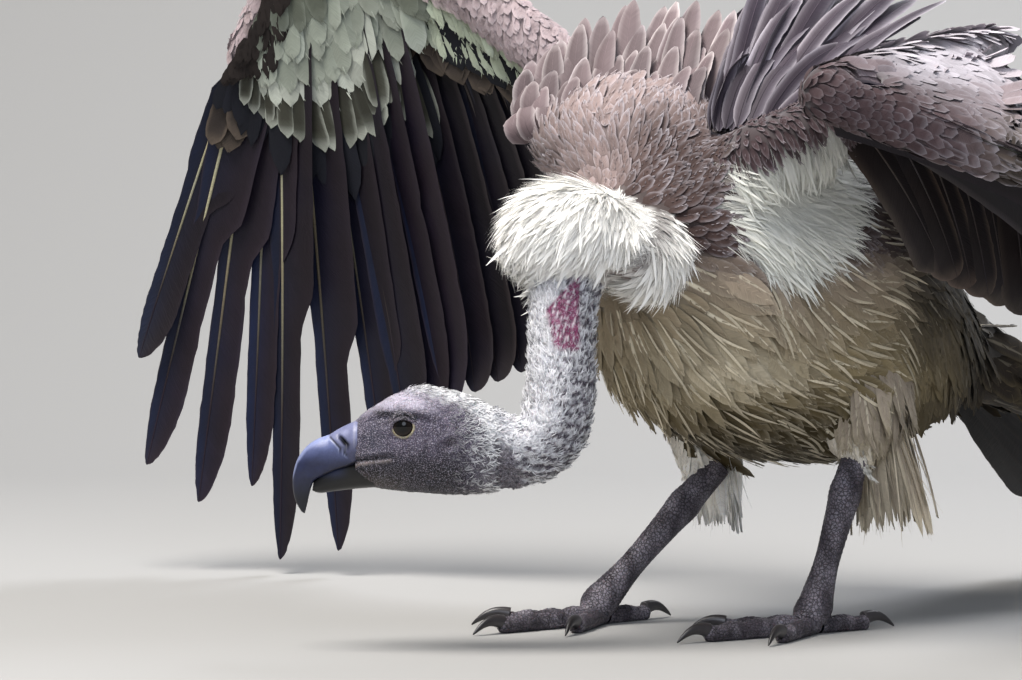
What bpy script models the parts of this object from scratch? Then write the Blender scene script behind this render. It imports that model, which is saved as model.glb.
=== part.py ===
# Griffon vulture standing with wings half open, life size, in metres, +Z up, bill end toward -Y.
import bpy
import bmesh
import math
from mathutils import Vector, Matrix
from mathutils.bvhtree import BVHTree

for old in list(bpy.data.objects):
    bpy.data.objects.remove(old, do_unlink=True)

# ---------------------------------------------------------------- driving sizes
GAP = 0.00035            # clear air between neighbouring solids
VANE_EDGE = 0.0007       # feather thickness at the vane's edge
VANE_SHAFT = 0.0022      # feather thickness at the shaft

TRUNK_STATIONS = (       # y, centre height, half width, half height
    (-0.172, 0.300, 0.040, 0.046),
    (-0.155, 0.297, 0.075, 0.084),
    (-0.125, 0.291, 0.100, 0.116),
    (-0.080, 0.283, 0.117, 0.135),
    (-0.020, 0.272, 0.124, 0.144),
    (0.040, 0.261, 0.124, 0.143),
    (0.095, 0.249, 0.114, 0.132),
    (0.150, 0.236, 0.095, 0.110),
    (0.200, 0.224, 0.070, 0.080),
    (0.240, 0.214, 0.046, 0.052),
)
TAIL_ROOT = (0.0, 0.262, 0.203)
TAIL_FALL = math.radians(27.0)       # slope of the tail below the level
TAIL_LENGTH = 0.265
TAIL_QUILLS = 10
TAIL_SPREAD = math.radians(34.0)

HEAD_AT = (-0.0659, -0.3257)         # plan position of the head's middle
HEAD_YAW = math.radians(45.0)        # head turned toward the bird's right
HEAD_STATIONS = (        # forward, top height, bottom height, half width
    (-0.0700, 0.1905, 0.1235, 0.0265),
    (-0.0520, 0.1965, 0.1215, 0.0298),
    (-0.0320, 0.2000, 0.1210, 0.0315),
    (-0.0120, 0.2008, 0.1215, 0.0312),
    (0.0060, 0.1990, 0.1225, 0.0288),
    (0.0200, 0.1925, 0.1240, 0.0243),
    (0.0300, 0.1842, 0.1270, 0.0200),
    (0.0358, 0.1790, 0.1320, 0.0172),
)
EYE_RADIUS = 0.0104
EYE_AT = (0.0008, 0.0222, 0.1702)    # forward, sideways, height

SHOULDER_R = Vector((-0.092, -0.105, 0.378))
ELBOW_R = Vector((-0.232, 0.052, 0.430))
WRIST_R = Vector((-0.458, -0.038, 0.606))
HAND_R = Vector((-0.574, -0.047, 0.450))
SHOULDER_L = Vector((0.085, -0.105, 0.375))
ELBOW_L = Vector((0.137, 0.128, 0.456))
WRIST_L = Vector((0.212, -0.172, 0.428))
HAND_L = Vector((0.320, -0.042, 0.362))

ANKLE_L = Vector((0.080, 0.024, 0.121))
FOOT_L = Vector((0.080, -0.018, 0.020))
ANKLE_R = Vector((-0.052, -0.014, 0.104))
FOOT_R = Vector((-0.086, -0.088, 0.019))
FOOT_YAW_L = math.radians(-8.0)
FOOT_YAW_R = math.radians(-6.0)
TOES = (                 # name, yaw off the foot's line, reach, half thickness
    ("inner", -34.0, 0.070, 0.0076),
    ("middle", -2.0, 0.104, 0.0082),
    ("outer", 30.0, 0.074, 0.0072),
    ("hind", 176.0, 0.048, 0.0072),
)
CLAW_LENGTH = 0.026

made = {}


# ---------------------------------------------------------------- small helpers
def paint(name, colour, rough):
    mat = bpy.data.materials.new("surface_" + name)
    mat.use_nodes = True
    shader = mat.node_tree.nodes["Principled BSDF"]
    shader.inputs["Base Color"].default_value = (colour[0], colour[1], colour[2], 1.0)
    shader.inputs["Roughness"].default_value = rough
    return mat


def solid(name, verts, faces, colour, rough=0.7, smooth=True):
    mesh = bpy.data.meshes.new(name)
    mesh.from_pydata([tuple(v) for v in verts], [], faces)
    work = bmesh.new()
    work.from_mesh(mesh)
    bmesh.ops.recalc_face_normals(work, faces=work.faces[:])
    if work.calc_volume(signed=True) < 0:
        bmesh.ops.reverse_faces(work, faces=work.faces[:])
    work.to_mesh(mesh)
    work.free()
    body = bpy.data.objects.new(name, mesh)
    bpy.context.scene.collection.objects.link(body)
    body.data.materials.append(paint(name, colour, rough))
    for poly in body.data.polygons:
        poly.use_smooth = smooth
    made[name] = body
    return body


def frame_rings(path, side_hint):
    """Directions along, across and up at each point of a path."""
    frames = []
    last = len(path) - 1
    for i, point in enumerate(path):
        ahead = path[min(i + 1, last)] - path[max(i - 1, 0)]
        ahead.normalize()
        side = side_hint - ahead * side_hint.dot(ahead)
        side.normalize()
        frames.append((ahead, side, ahead.cross(side)))
    return frames


def loft(name, rings, colour, rough=0.7, smooth=True):
    """Closed skin over a row of equal rings, both ends closed by a fan."""
    count = len(rings[0])
    verts = [p for ring in rings for p in ring]
    faces = []
    for i in range(len(rings) - 1):
        for k in range(count):
            a = i * count + k
            b = i * count + (k + 1) % count
            faces.append((a, b, b + count, a + count))
    for end in (0, len(rings) - 1):
        middle = len(verts)
        verts.append(sum((Vector(p) for p in rings[end]), Vector()) / count)
        for k in range(count):
            faces.append((middle, end * count + k, end * count + (k + 1) % count))
    return solid(name, verts, faces, colour, rough, smooth)


def tube_rings(path, sizes, side_hint, sides, turn=0.5):
    rings = []
    path = [Vector(p) for p in path]
    for (ahead, side, up), point, (across, tall) in zip(frame_rings(path, Vector(side_hint)), path, sizes):
        ring = []
        for k in range(sides):
            angle = 2.0 * math.pi * (k + turn) / sides
            ring.append(point + side * (across * math.cos(angle)) + up * (tall * math.sin(angle)))
        rings.append(ring)
    return rings


def tube(name, path, sizes, side_hint, sides, colour, rough=0.7):
    return loft(name, tube_rings(path, sizes, side_hint, sides), colour, rough)


def rounded(path, sizes):
    """Adds a small domed station at each end of a tube."""
    path = [Vector(p) for p in path]
    first = (path[0] - path[1]).normalized()
    last = (path[-1] - path[-2]).normalized()
    deep_a = min(sizes[0]) * 0.55
    deep_b = min(sizes[-1]) * 0.55
    out_path = [path[0] + first * deep_a] + path + [path[-1] + last * deep_b]
    small_a = (sizes[0][0] * 0.55, sizes[0][1] * 0.55)
    small_b = (sizes[-1][0] * 0.55, sizes[-1][1] * 0.55)
    return out_path, [small_a] + list(sizes) + [small_b]


def ellipsoid(name, centre, radii, sides, rows, colour, turn=None, rough=0.8):
    verts = []
    faces = []
    spin = turn if turn else Matrix.Identity(3)
    for j in range(1, rows):
        lat = math.pi * j / rows
        for k in range(sides):
            lon = 2.0 * math.pi * k / sides
            local = Vector((radii[0] * math.sin(lat) * math.cos(lon),
                            radii[1] * math.sin(lat) * math.sin(lon),
                            radii[2] * math.cos(lat)))
            verts.append(Vector(centre) + spin @ local)
    top = len(verts)
    verts.append(Vector(centre) + spin @ Vector((0, 0, radii[2])))
    verts.append(Vector(centre) + spin @ Vector((0, 0, -radii[2])))
    for k in range(sides):
        faces.append((top, k, (k + 1) % sides))
        base = (rows - 2) * sides
        faces.append((top + 1, base + (k + 1) % sides, base + k))
    for j in range(rows - 2):
        for k in range(sides):
            a = j * sides + k
            b = j * sides + (k + 1) % sides
            faces.append((a, a + sides, b + sides, b))
    return solid(name, verts, faces, colour, rough)


def swollen(body, grow):
    """A copy of a solid grown outward along its corner normals, used as a cutter."""
    work = bmesh.new()
    work.from_mesh(body.data)
    work.normal_update()
    for vert in work.verts:
        vert.co += vert.normal * (grow * 1.06 * max(1.0, vert.calc_shell_factor()))
    mesh = bpy.data.meshes.new("cutter")
    work.to_mesh(mesh)
    work.free()
    cutter = bpy.data.objects.new("cutter", mesh)
    bpy.context.scene.collection.objects.link(cutter)
    cutter.hide_render = True
    cutter.display_type = "WIRE"
    return cutter


def keep_largest(body):
    """Leaves only the biggest connected shell of a mesh."""
    work = bmesh.new()
    work.from_mesh(body.data)
    bmesh.ops.remove_doubles(work, verts=work.verts[:], dist=0.00003)
    bmesh.ops.dissolve_degenerate(work, edges=work.edges[:], dist=0.00003)
    work.verts.ensure_lookup_table()
    seen = set()
    shells = []
    for start in work.verts:
        if start.index in seen:
            continue
        shell = []
        stack = [start]
        seen.add(start.index)
        while stack:
            vert = stack.pop()
            shell.append(vert)
            for edge in vert.link_edges:
                other = edge.other_vert(vert)
                if other.index not in seen:
                    seen.add(other.index)
                    stack.append(other)
        shells.append(shell)
    shells.sort(key=len, reverse=True)
    extra = [v for shell in shells[1:] for v in shell]
    if extra:
        bmesh.ops.delete(work, geom=extra, context="VERTS")
    work.to_mesh(body.data)
    work.free()
    body.data.update()


def trim(name, *others, grow=GAP):
    """Cuts a solid back so that it stands clear of its neighbours."""
    body = made[name]
    for other in others:
        cutter = swollen(made[other], grow)
        bpy.context.view_layer.update()
        tool = body.modifiers.new("clear", "BOOLEAN")
        tool.operation = "DIFFERENCE"
        tool.solver = "EXACT"
        tool.object = cutter
        graph = bpy.context.evaluated_depsgraph_get()
        fresh = bpy.data.meshes.new_from_object(body.evaluated_get(graph))
        body.modifiers.clear()
        body.data = fresh
        bpy.data.objects.remove(cutter, do_unlink=True)
        keep_largest(body)
    for poly in body.data.polygons:
        poly.use_smooth = True


# ---------------------------------------------------------------- feather combs
def quill(root, tip, half, split, bow=(0.0, 0.0, 0.0)):
    """One feather of a comb: root, tip, half width past the split, share of length joined."""
    return {"root": Vector(root), "tip": Vector(tip), "half": half, "split": split, "bow": Vector(bow)}


def along(feather, u):
    return feather["root"].lerp(feather["tip"], u) + feather["bow"] * (4.0 * u * (1.0 - u))


def inside(tree, point, margin):
    """Whether a point lies within a solid or closer than a margin to it."""
    if tree.find_nearest(point)[3] < margin:
        return True
    line = Vector((0.31, 0.27, 0.91)).normalized()
    crossings = 0
    spot = tree.ray_cast(point, line)[0]
    while spot is not None and crossings < 20:
        crossings += 1
        spot = tree.ray_cast(spot + line * 0.00002, line)[0]
    return crossings % 2 == 1


def clear_roots(feathers, names, margin=0.0027):
    """Moves each root out along its feather until it stands clear of the named solids."""
    for name in names:
        body = made[name]
        corners = [v.co.copy() for v in body.data.vertices]
        tree = BVHTree.FromPolygons(corners, [tuple(f.vertices) for f in body.data.polygons])
        for f in feathers:
            start = 0.0
            for k in range(0, 200):
                u = 0.8 * k / 200
                if inside(tree, along(f, u), margin):
                    start = u + 0.8 / 200
            if start > 0.0:
                f["root"], f["bow"] = along(f, start), f["bow"] * (1.0 - start) ** 2
    return feathers


def comb(name, feathers, root_thick, colour, base_rows=2, free_rows=2,
         thick_share=0.5, clear=(), margin=0.0027):
    """A fan of feathers joined at the roots and free past each feather's split, one closed solid."""
    clear_roots(feathers, clear, margin)
    last = len(feathers) - 1
    normals = []
    for i, f in enumerate(feathers):
        a = feathers[max(i - 1, 0)]
        b = feathers[min(i + 1, last)]
        spread = (b["root"] - a["root"]) + (b["tip"] - a["tip"])
        normals.append((f["tip"] - f["root"]).cross(spread).normalized())
    verts = []
    faces = []
    for i, f in enumerate(feathers):
        for g in feathers[max(i - 1, 0):i] + feathers[i + 1:i + 2]:
            for share in (0.0, 0.35, 0.7, 0.95):
                here = along(f, f["split"] + (1.0 - f["split"]) * share)
                there = along(g, g["split"] + (1.0 - g["split"]) * share)
                f["half"] = min(f["half"], 0.46 * (here - there).length)

    def pair(point, normal, thick):
        verts.append(point + normal * (thick * 0.5))
        verts.append(point - normal * (thick * 0.5))
        return len(verts) - 2

    def depth(u, shaft, first=False):
        floor_thick = VANE_SHAFT * (1.0 - 0.45 * u) if shaft else VANE_EDGE
        fade = 0.0 if first else max(0.0, 1.0 - u / thick_share)
        return floor_thick + root_thick * fade

    base_shares = {1: (0.0, 1.0), 2: (0.0, 0.16, 1.0), 3: (0.0, 0.09, 0.5, 1.0)}[base_rows]

    columns = []
    for i in range(last + 2):
        column = []
        for j in range(base_rows + 1):
            share = base_shares[j]
            if 0 < i <= last:
                f, g = feathers[i - 1], feathers[i]
                point = (along(f, f["split"] * share) + along(g, g["split"] * share)) * 0.5
                normal = (normals[i - 1] + normals[i]).normalized()
                u = 0.5 * (f["split"] + g["split"]) * share
            else:
                f = feathers[0] if i == 0 else feathers[last]
                normal = normals[0] if i == 0 else normals[last]
                line = (f["tip"] - f["root"]).normalized()
                out = normal.cross(line)
                if i == 0:
                    out = -out
                mate = feathers[1] if i == 0 else feathers[last - 1]
                if out.dot(mate["root"] + mate["tip"] - f["root"] - f["tip"]) > 0:
                    out = -out
                u = f["split"] * share
                point = along(f, u) + out * f["half"] * (0.45 + 0.55 * share)
            column.append(pair(point, normal, depth(u, False, j == 0)))
        columns.append(column)
    for i, f in enumerate(feathers):
        middle = []
        for j in range(base_rows + 1):
            u = f["split"] * base_shares[j]
            middle.append(pair(along(f, u), normals[i], depth(u, True, j == 0)))
        left = list(columns[i])
        right = list(columns[i + 1])
        line = (f["tip"] - f["root"]).normalized()
        out = normals[i].cross(line).normalized()
        corner_r = (Vector(verts[right[-1]]) + Vector(verts[right[-1] + 1])) * 0.5
        if out.dot(corner_r - along(f, f["split"])) < 0:
            out = -out
        for j in range(1, free_rows + 1):
            share = j / free_rows
            u = f["split"] + (1.0 - f["split"]) * (share ** 0.8)
            taper = max(0.0, share - 0.5) / 0.56
            width = f["half"] * math.sqrt(1.0 - taper ** 2)
            if j == free_rows:
                width = f["half"] * 0.22
            middle.append(pair(along(f, u), normals[i], depth(u, True) if j < free_rows else VANE_EDGE * 1.2))
            back = line * (0.0 if j < free_rows else -0.15 * f["half"])
            left.append(pair(along(f, u) - out * width + back, normals[i], depth(u, False)))
            right.append(pair(along(f, u) + out * width + back, normals[i], depth(u, False)))
        rows = base_rows + free_rows
        for j in range(rows):
            for a, b in ((left, middle), (middle, right)):
                faces.append((a[j], b[j], b[j + 1], a[j + 1]))
                faces.append((a[j] + 1, a[j + 1] + 1, b[j + 1] + 1, b[j] + 1))
        for a, flip in ((left, False), (right, True)):
            outer = (i == 0 and not flip) or (i == last and flip)
            start = 0 if outer else base_rows
            for j in range(start, rows):
                face = (a[j], a[j + 1], a[j + 1] + 1, a[j] + 1)
                faces.append(face[::-1] if flip else face)
        for a, b in ((left, middle), (middle, right)):
            faces.append((a[0], a[0] + 1, b[0] + 1, b[0]))
            faces.append((a[rows], b[rows], b[rows] + 1, a[rows] + 1))
    return solid(name, verts, faces, colour, 0.55)


def spread_row(count, root_a, root_b, tips, half, split, bow):
    """A row of feathers with roots on a line and tips on a curve through three points."""
    row = []
    for i in range(count):
        s = i / (count - 1)
        root = Vector(root_a).lerp(Vector(root_b), s)
        a, b, c = (Vector(t) for t in tips)
        tip = a * ((1 - s) * (1 - 2 * s)) + b * (4 * s * (1 - s)) + c * (s * (2 * s - 1))
        row.append(quill(root, tip, half, split, bow))
    return row


# ---------------------------------------------------------------- trunk, neck and head
def build_trunk():
    rings = []
    sides = 14
    for y, z, wide, tall in TRUNK_STATIONS:
        ring = []
        for k in range(sides):
            angle = 2.0 * math.pi * (k + 0.5) / sides
            ring.append(Vector((wide * math.cos(angle), y, z + tall * math.sin(angle))))
        rings.append(ring)
    loft("trunk", rings, (0.33, 0.27, 0.19))


def head_point(forward, sideways, height):
    ahead = Vector((-math.sin(HEAD_YAW), -math.cos(HEAD_YAW), 0.0))
    left = Vector((math.cos(HEAD_YAW), -math.sin(HEAD_YAW), 0.0))
    return Vector((HEAD_AT[0], HEAD_AT[1], 0.0)) + ahead * forward + left * sideways + Vector((0, 0, height))


def head_rings(stations, sides, square=0.88):
    """Rings between a top point and a bottom point of the head's profile."""
    rings = []
    for (f_top, z_top), (f_low, z_low), wide in stations:
        ring = []
        for k in range(sides):
            angle = 2.0 * math.pi * (k + 0.5) / sides
            across = math.copysign(abs(math.cos(angle)) ** square, math.cos(angle)) * wide
            rise = 0.5 + 0.5 * math.copysign(abs(math.sin(angle)) ** square, math.sin(angle))
            ring.append(head_point(f_low + (f_top - f_low) * rise, across, z_low + (z_top - z_low) * rise))
        rings.append(ring)
    return rings


def build_head():
    rows = [((f, top), (f, low), wide) for f, top, low, wide in HEAD_STATIONS]
    loft("head", head_rings(rows, 14), (0.42, 0.38, 0.38))
    cere = (((0.0362, 0.1786), (0.0362, 0.1425), 0.0166),
            ((0.0420, 0.1765), (0.0440, 0.1402), 0.0150),
            ((0.0500, 0.1738), (0.0520, 0.1380), 0.0134),
            ((0.0572, 0.1700), (0.0572, 0.1360), 0.0122))
    loft("cere", head_rings(cere, 12), (0.16, 0.17, 0.20), 0.45)
    upper = (((0.0576, 0.1702), (0.0576, 0.1360), 0.0121),
             ((0.0665, 0.1668), (0.0628, 0.1345), 0.0112),
             ((0.0745, 0.1605), (0.0672, 0.1335), 0.0100),
             ((0.0812, 0.1515), (0.0702, 0.1322), 0.0086),
             ((0.0848, 0.1410), (0.0722, 0.1290), 0.0070),
             ((0.0850, 0.1300), (0.0740, 0.1240), 0.0052),
             ((0.0825, 0.1200), (0.0752, 0.1185), 0.0034),
             ((0.0795, 0.1145), (0.0762, 0.1145), 0.0016))
    loft("bill_upper", head_rings(upper, 10), (0.22, 0.25, 0.30), 0.35)
    lower = (((0.0120, 0.1470), (0.0120, 0.1262), 0.0165),
             ((0.0250, 0.1428), (0.0250, 0.1256), 0.0152),
             ((0.0400, 0.1392), (0.0400, 0.1256), 0.0128),
             ((0.0520, 0.1368), (0.0520, 0.1262), 0.0104),
             ((0.0610, 0.1348), (0.0610, 0.1275), 0.0080),
             ((0.0668, 0.1330), (0.0668, 0.1295), 0.0048))
    loft("bill_lower", head_rings(lower, 10), (0.20, 0.22, 0.26), 0.35)
    for label, sign in (("left", 1.0), ("right", -1.0)):
        at = head_point(EYE_AT[0], EYE_AT[1] * sign, EYE_AT[2])
        ellipsoid("eye_" + label, at, (EYE_RADIUS,) * 3, 10, 7, (0.03, 0.02, 0.02), None, 0.1)
    trim("bill_lower", "cere")
    trim("head", "bill_lower", "eye_left", "eye_right")


def build_neck():
    path = (head_point(-0.0704, 0.0, 0.1572),
            head_point(-0.0880, 0.0, 0.1545),
            head_point(-0.1060, -0.001, 0.1590),
            head_point(-0.1180, -0.003, 0.1720),
            head_point(-0.1220, -0.006, 0.1950),
            head_point(-0.1215, -0.011, 0.2250),
            head_point(-0.1220, -0.018, 0.2560),
            head_point(-0.1250, -0.028, 0.2800),
            head_point(-0.1290, -0.040, 0.3020))
    sizes = ((0.0265, 0.0335), (0.0268, 0.0325), (0.0268, 0.0310), (0.0268, 0.0285), (0.0262, 0.0265),
             (0.0256, 0.0256), (0.0262, 0.0262), (0.0280, 0.0280), (0.0300, 0.0300))
    side = head_point(0.0, 1.0, 0.0) - head_point(0.0, 0.0, 0.0)
    rings = tube_rings(path, sizes, side, 12)
    colour = (0.55, 0.50, 0.47)
    for name, first, final in (("neck_upper", 0, 3), ("neck_bend", 3, 5), ("neck_lower", 5, 8)):
        part = [list(r) for r in rings[first:final + 1]]
        if first:
            step = (Vector(path[first + 1]) - Vector(path[first])).normalized() * GAP * 1.2
            part[0] = [p + step for p in part[0]]
        loft(name, part, colour)
    trim("neck_upper", "head")


def build_ruff():
    spin = Matrix.Rotation(math.radians(-45.0), 3, "Z") @ Matrix.Rotation(math.radians(-12.0), 3, "Y")
    ball = head_point(-0.1263, -0.036, 0.3180)
    ellipsoid("ruff", ball, (0.060, 0.063, 0.052), 13, 7, (0.86, 0.84, 0.78), spin)
    lobe = (0.042, -0.172, 0.302)
    ellipsoid("ruff_collar", lobe, (0.042, 0.040, 0.040), 11, 6, (0.80, 0.76, 0.68), spin)
    trim("ruff", "neck_lower", "trunk")
    trim("ruff_collar", "ruff", "trunk")


def build_mantle():
    ellipsoid("mantle", (-0.050, -0.080, 0.384), (0.106, 0.088, 0.060), 14, 8, (0.36, 0.30, 0.25))
    trim("mantle", "trunk", "ruff")


def build_crest():
    """Raised feathers standing along the upper back."""
    row = spread_row(7, (-0.122, -0.108, 0.385), (0.010, -0.064, 0.400),
                     ((-0.139, -0.114, 0.455), (-0.090, -0.050, 0.494), (0.000, -0.022, 0.492)),
                     0.0125, 0.72, (0.0, -0.004, 0.0))
    comb("mantle_crest", row, 0.010, (0.42, 0.36, 0.31), 2, 2, 0.95,
         clear=("mantle", "trunk", "upper_arm_left", "upper_arm_right"))


# ---------------------------------------------------------------- tail and legs
def build_tail():
    path = ((0.0, 0.2408, 0.214), (0.0, 0.275, 0.198), (0.0, 0.320, 0.176), (0.0, 0.365, 0.154))
    sizes = ((0.045, 0.050), (0.044, 0.036), (0.040, 0.022), (0.022, 0.008))
    tube("tail_coverts", path, sizes, (1.0, 0.0, 0.0), 12, (0.40, 0.35, 0.29))
    trim("tail_coverts", "trunk")
    feathers = []
    for i in range(TAIL_QUILLS):
        s = i / (TAIL_QUILLS - 1) - 0.5
        root = Vector(TAIL_ROOT) + Vector((0.052 * s, 0.010, -0.006 * abs(s)))
        yaw = TAIL_SPREAD * s
        reach = TAIL_LENGTH * (1.0 - 0.32 * s * s)
        level = math.cos(yaw)
        line = Vector((math.sin(yaw), level * math.cos(TAIL_FALL), -level * math.sin(TAIL_FALL)))
        drop = Vector((0.0, 0.0, -0.022 * abs(2.0 * s) ** 1.5))
        feathers.append(quill(root, root + line * reach + drop, 0.0105, 0.80, (0.0, 0.0, -0.006)))
    comb("tail", feathers, 0.006, (0.07, 0.06, 0.06), 2, 2, 0.5,
         clear=("tail_coverts", "trunk"), margin=0.0045)


def build_leg(label, sign, hip, knee, ankle, foot, foot_yaw):
    path, sizes = rounded((hip, knee, ankle.lerp(knee, 0.40), ankle + (knee - ankle).normalized() * 0.004),
                          ((0.047, 0.060), (0.044, 0.050), (0.026, 0.028), (0.0150, 0.0165)))
    tube("thigh_" + label, path, sizes, (1.0, 0.0, 0.0), 12, (0.46, 0.42, 0.36))
    trim("thigh_" + label, "trunk")
    shank = (ankle, ankle.lerp(foot, 0.12), ankle.lerp(foot, 0.30), ankle.lerp(foot, 0.65),
             ankle.lerp(foot, 0.88), foot, foot + Vector((0.0, -0.008, -0.0086)))
    girth = ((0.0105, 0.0125), (0.0125, 0.0140), (0.0108, 0.0120), (0.0095, 0.0105),
             (0.0125, 0.0125), (0.0150, 0.0150), (0.0130, 0.0100))
    rings = tube_rings(shank, girth, (1.0, 0.0, 0.0), 10)
    for ring in rings:
        for point in ring:
            point.z = max(point.z, 0.0)
    loft("tarsus_" + label, rings, (0.22, 0.21, 0.23), 0.6)
    trim("tarsus_" + label, "thigh_" + label)
    for toe, yaw, reach, thick in TOES:
        heading = foot_yaw + math.radians(yaw) * (1.0 if sign > 0 else -1.0)
        line = Vector((math.sin(heading), -math.cos(heading), 0.0))
        side = Vector((line.y, -line.x, 0.0))
        base = Vector((foot.x, foot.y, 0.0)) + line * 0.004
        stations = 7 if toe == "middle" else (5 if toe != "hind" else 4)
        path = []
        girth = []
        for k in range(stations):
            s = k / (stations - 1)
            bulge = 1.0 + 0.10 * (1 if k % 2 == 0 else -1)
            tall = thick * (1.06 - 0.24 * s) * bulge
            path.append(base + line * (reach * s) + Vector((0, 0, tall * 0.90)))
            girth.append((tall * 1.02, tall))
        rings = []
        for point, (across, tall) in zip(path, girth):
            ring = []
            for k in range(8):
                angle = 2.0 * math.pi * (k + 0.5) / 8
                spot = point + side * (across * math.cos(angle)) + Vector((0, 0, tall * math.sin(angle)))
                spot.z = max(spot.z, 0.0)
                ring.append(spot)
            rings.append(ring)
        loft("toe_%s_%s" % (toe, label), rings, (0.22, 0.21, 0.23), 0.6)
        trim("toe_%s_%s" % (toe, label), "tarsus_" + label, grow=0.0006)
        nail = base + line * (reach + 0.0016)
        path = []
        girth = []
        for k in range(4):
            s = k / 3
            lift = 0.0088 - 0.0080 * s ** 1.8 + 0.003 * math.sin(math.pi * s)
            path.append(nail + line * (CLAW_LENGTH * s) + Vector((0, 0, lift)))
            girth.append((0.0046 * (1.0 - s) ** 0.8 + 0.0005, 0.0056 * (1.0 - s) ** 0.8 + 0.0005))
        rings = tube_rings(path, girth, side, 6)
        for ring in rings:
            for point in ring:
                point.z = max(point.z, 0.0002)
        loft("claw_%s_%s" % (toe, label), rings, (0.09, 0.08, 0.08), 0.35)
    names = ["toe_%s_%s" % (t[0], label) for t in TOES]
    trim(names[0], names[1])
    trim(names[2], names[1])
    trim(names[3], names[0], names[1], names[2])


def build_plumes(label, sign, ankle, low):
    feathers = []
    for i in range(4):
        s = i / 3 - 0.5
        root = ankle + Vector((0.026 * s * sign + 0.004 * sign, 0.022 + 0.010 * s, 0.046))
        tip = ankle + Vector((0.060 * s * sign + 0.010 * sign, 0.034 + 0.026 * s, low - 0.012 * abs(s)))
        feathers.append(quill(root, tip, 0.0062, 0.66, (0.0, 0.008, 0.0)))
    comb("thigh_plumes_" + label, feathers, 0.010, (0.62, 0.58, 0.52), 1, 2, 0.9,
         clear=("thigh_" + label, "tarsus_" + label, "trunk"))


# ---------------------------------------------------------------- wings
def build_arm(label, shoulder, elbow, wrist, hand, plane):
    """Upper arm, forearm and hand with the short feathers that cover them."""
    path, sizes = rounded((shoulder, shoulder.lerp(elbow, 0.5), elbow),
                          ((0.036, 0.034), (0.033, 0.026), (0.030, 0.022)))
    tube("upper_arm_" + label, path, sizes, plane, 9, (0.50, 0.45, 0.38))
    path, sizes = rounded((elbow, elbow.lerp(wrist, 0.35), elbow.lerp(wrist, 0.7), wrist),
                          ((0.030, 0.022), (0.034, 0.021), (0.031, 0.019), (0.026, 0.018)))
    tube("forearm_" + label, path, sizes, plane, 9, (0.52, 0.47, 0.40))
    trim("upper_arm_" + label, "trunk", "mantle")
    path, sizes = rounded((wrist, wrist.lerp(hand, 0.5), hand),
                          ((0.025, 0.0165), (0.023, 0.0135), (0.014, 0.0085)))
    tube("hand_" + label, path, sizes, plane, 9, (0.34, 0.29, 0.24))
    trim("forearm_" + label, "upper_arm_" + label, "trunk")
    trim("hand_" + label, "forearm_" + label)


def build_right_wing():
    tips = ((-0.402, 0.059, 0.155), (-0.424, 0.057, 0.135), (-0.449, 0.054, 0.112), (-0.478, 0.050, 0.086),
            (-0.520, 0.034, 0.024), (-0.569, 0.010, 0.014), (-0.597, 0.001, 0.078), (-0.638, -0.028, 0.063),
            (-0.672, -0.059, 0.096), (-0.666, -0.074, 0.191))
    splits = (0.90, 0.89, 0.87, 0.76, 0.62, 0.54, 0.48, 0.43, 0.40, 0.42)
    feathers = []
    for i, tip in enumerate(tips):
        s = i / (len(tips) - 1)
        root = WRIST_R.lerp(HAND_R, s) + Vector((0.002, 0.004, 0.0))
        half = 0.019 if i > 3 else 0.015
        feathers.append(quill(root, tip, half, splits[i], (-0.006 - 0.010 * s, 0.012, 0.0)))
    comb("primaries_right", feathers, 0.014, (0.09, 0.08, 0.09), 3, 3, 0.42,
         clear=("hand_right", "forearm_right"), margin=0.0055)
    row = spread_row(10, WRIST_R.lerp(ELBOW_R, 0.075), WRIST_R.lerp(ELBOW_R, 0.97),
                     ((-0.381, 0.066, 0.168), (-0.262, 0.130, 0.205), (-0.150, 0.215, 0.185)),
                     0.014, 0.90, (-0.004, 0.022, 0.0))
    comb("secondaries_right", row, 0.014, (0.10, 0.09, 0.09), 3, 2, 0.42,
         clear=("forearm_right", "hand_right", "trunk", "upper_arm_right"))
    row = spread_row(5, ELBOW_R.lerp(SHOULDER_R, 0.05), ELBOW_R.lerp(SHOULDER_R, 0.80),
                     ((-0.138, 0.226, 0.196), (-0.118, 0.236, 0.225), (-0.086, 0.242, 0.262)),
                     0.016, 0.86, (-0.010, 0.030, 0.030))
    comb("tertials_right", row, 0.012, (0.20, 0.17, 0.15), 2, 2, 0.5,
         clear=("trunk", "forearm_right", "upper_arm_right", "mantle"))


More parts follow.
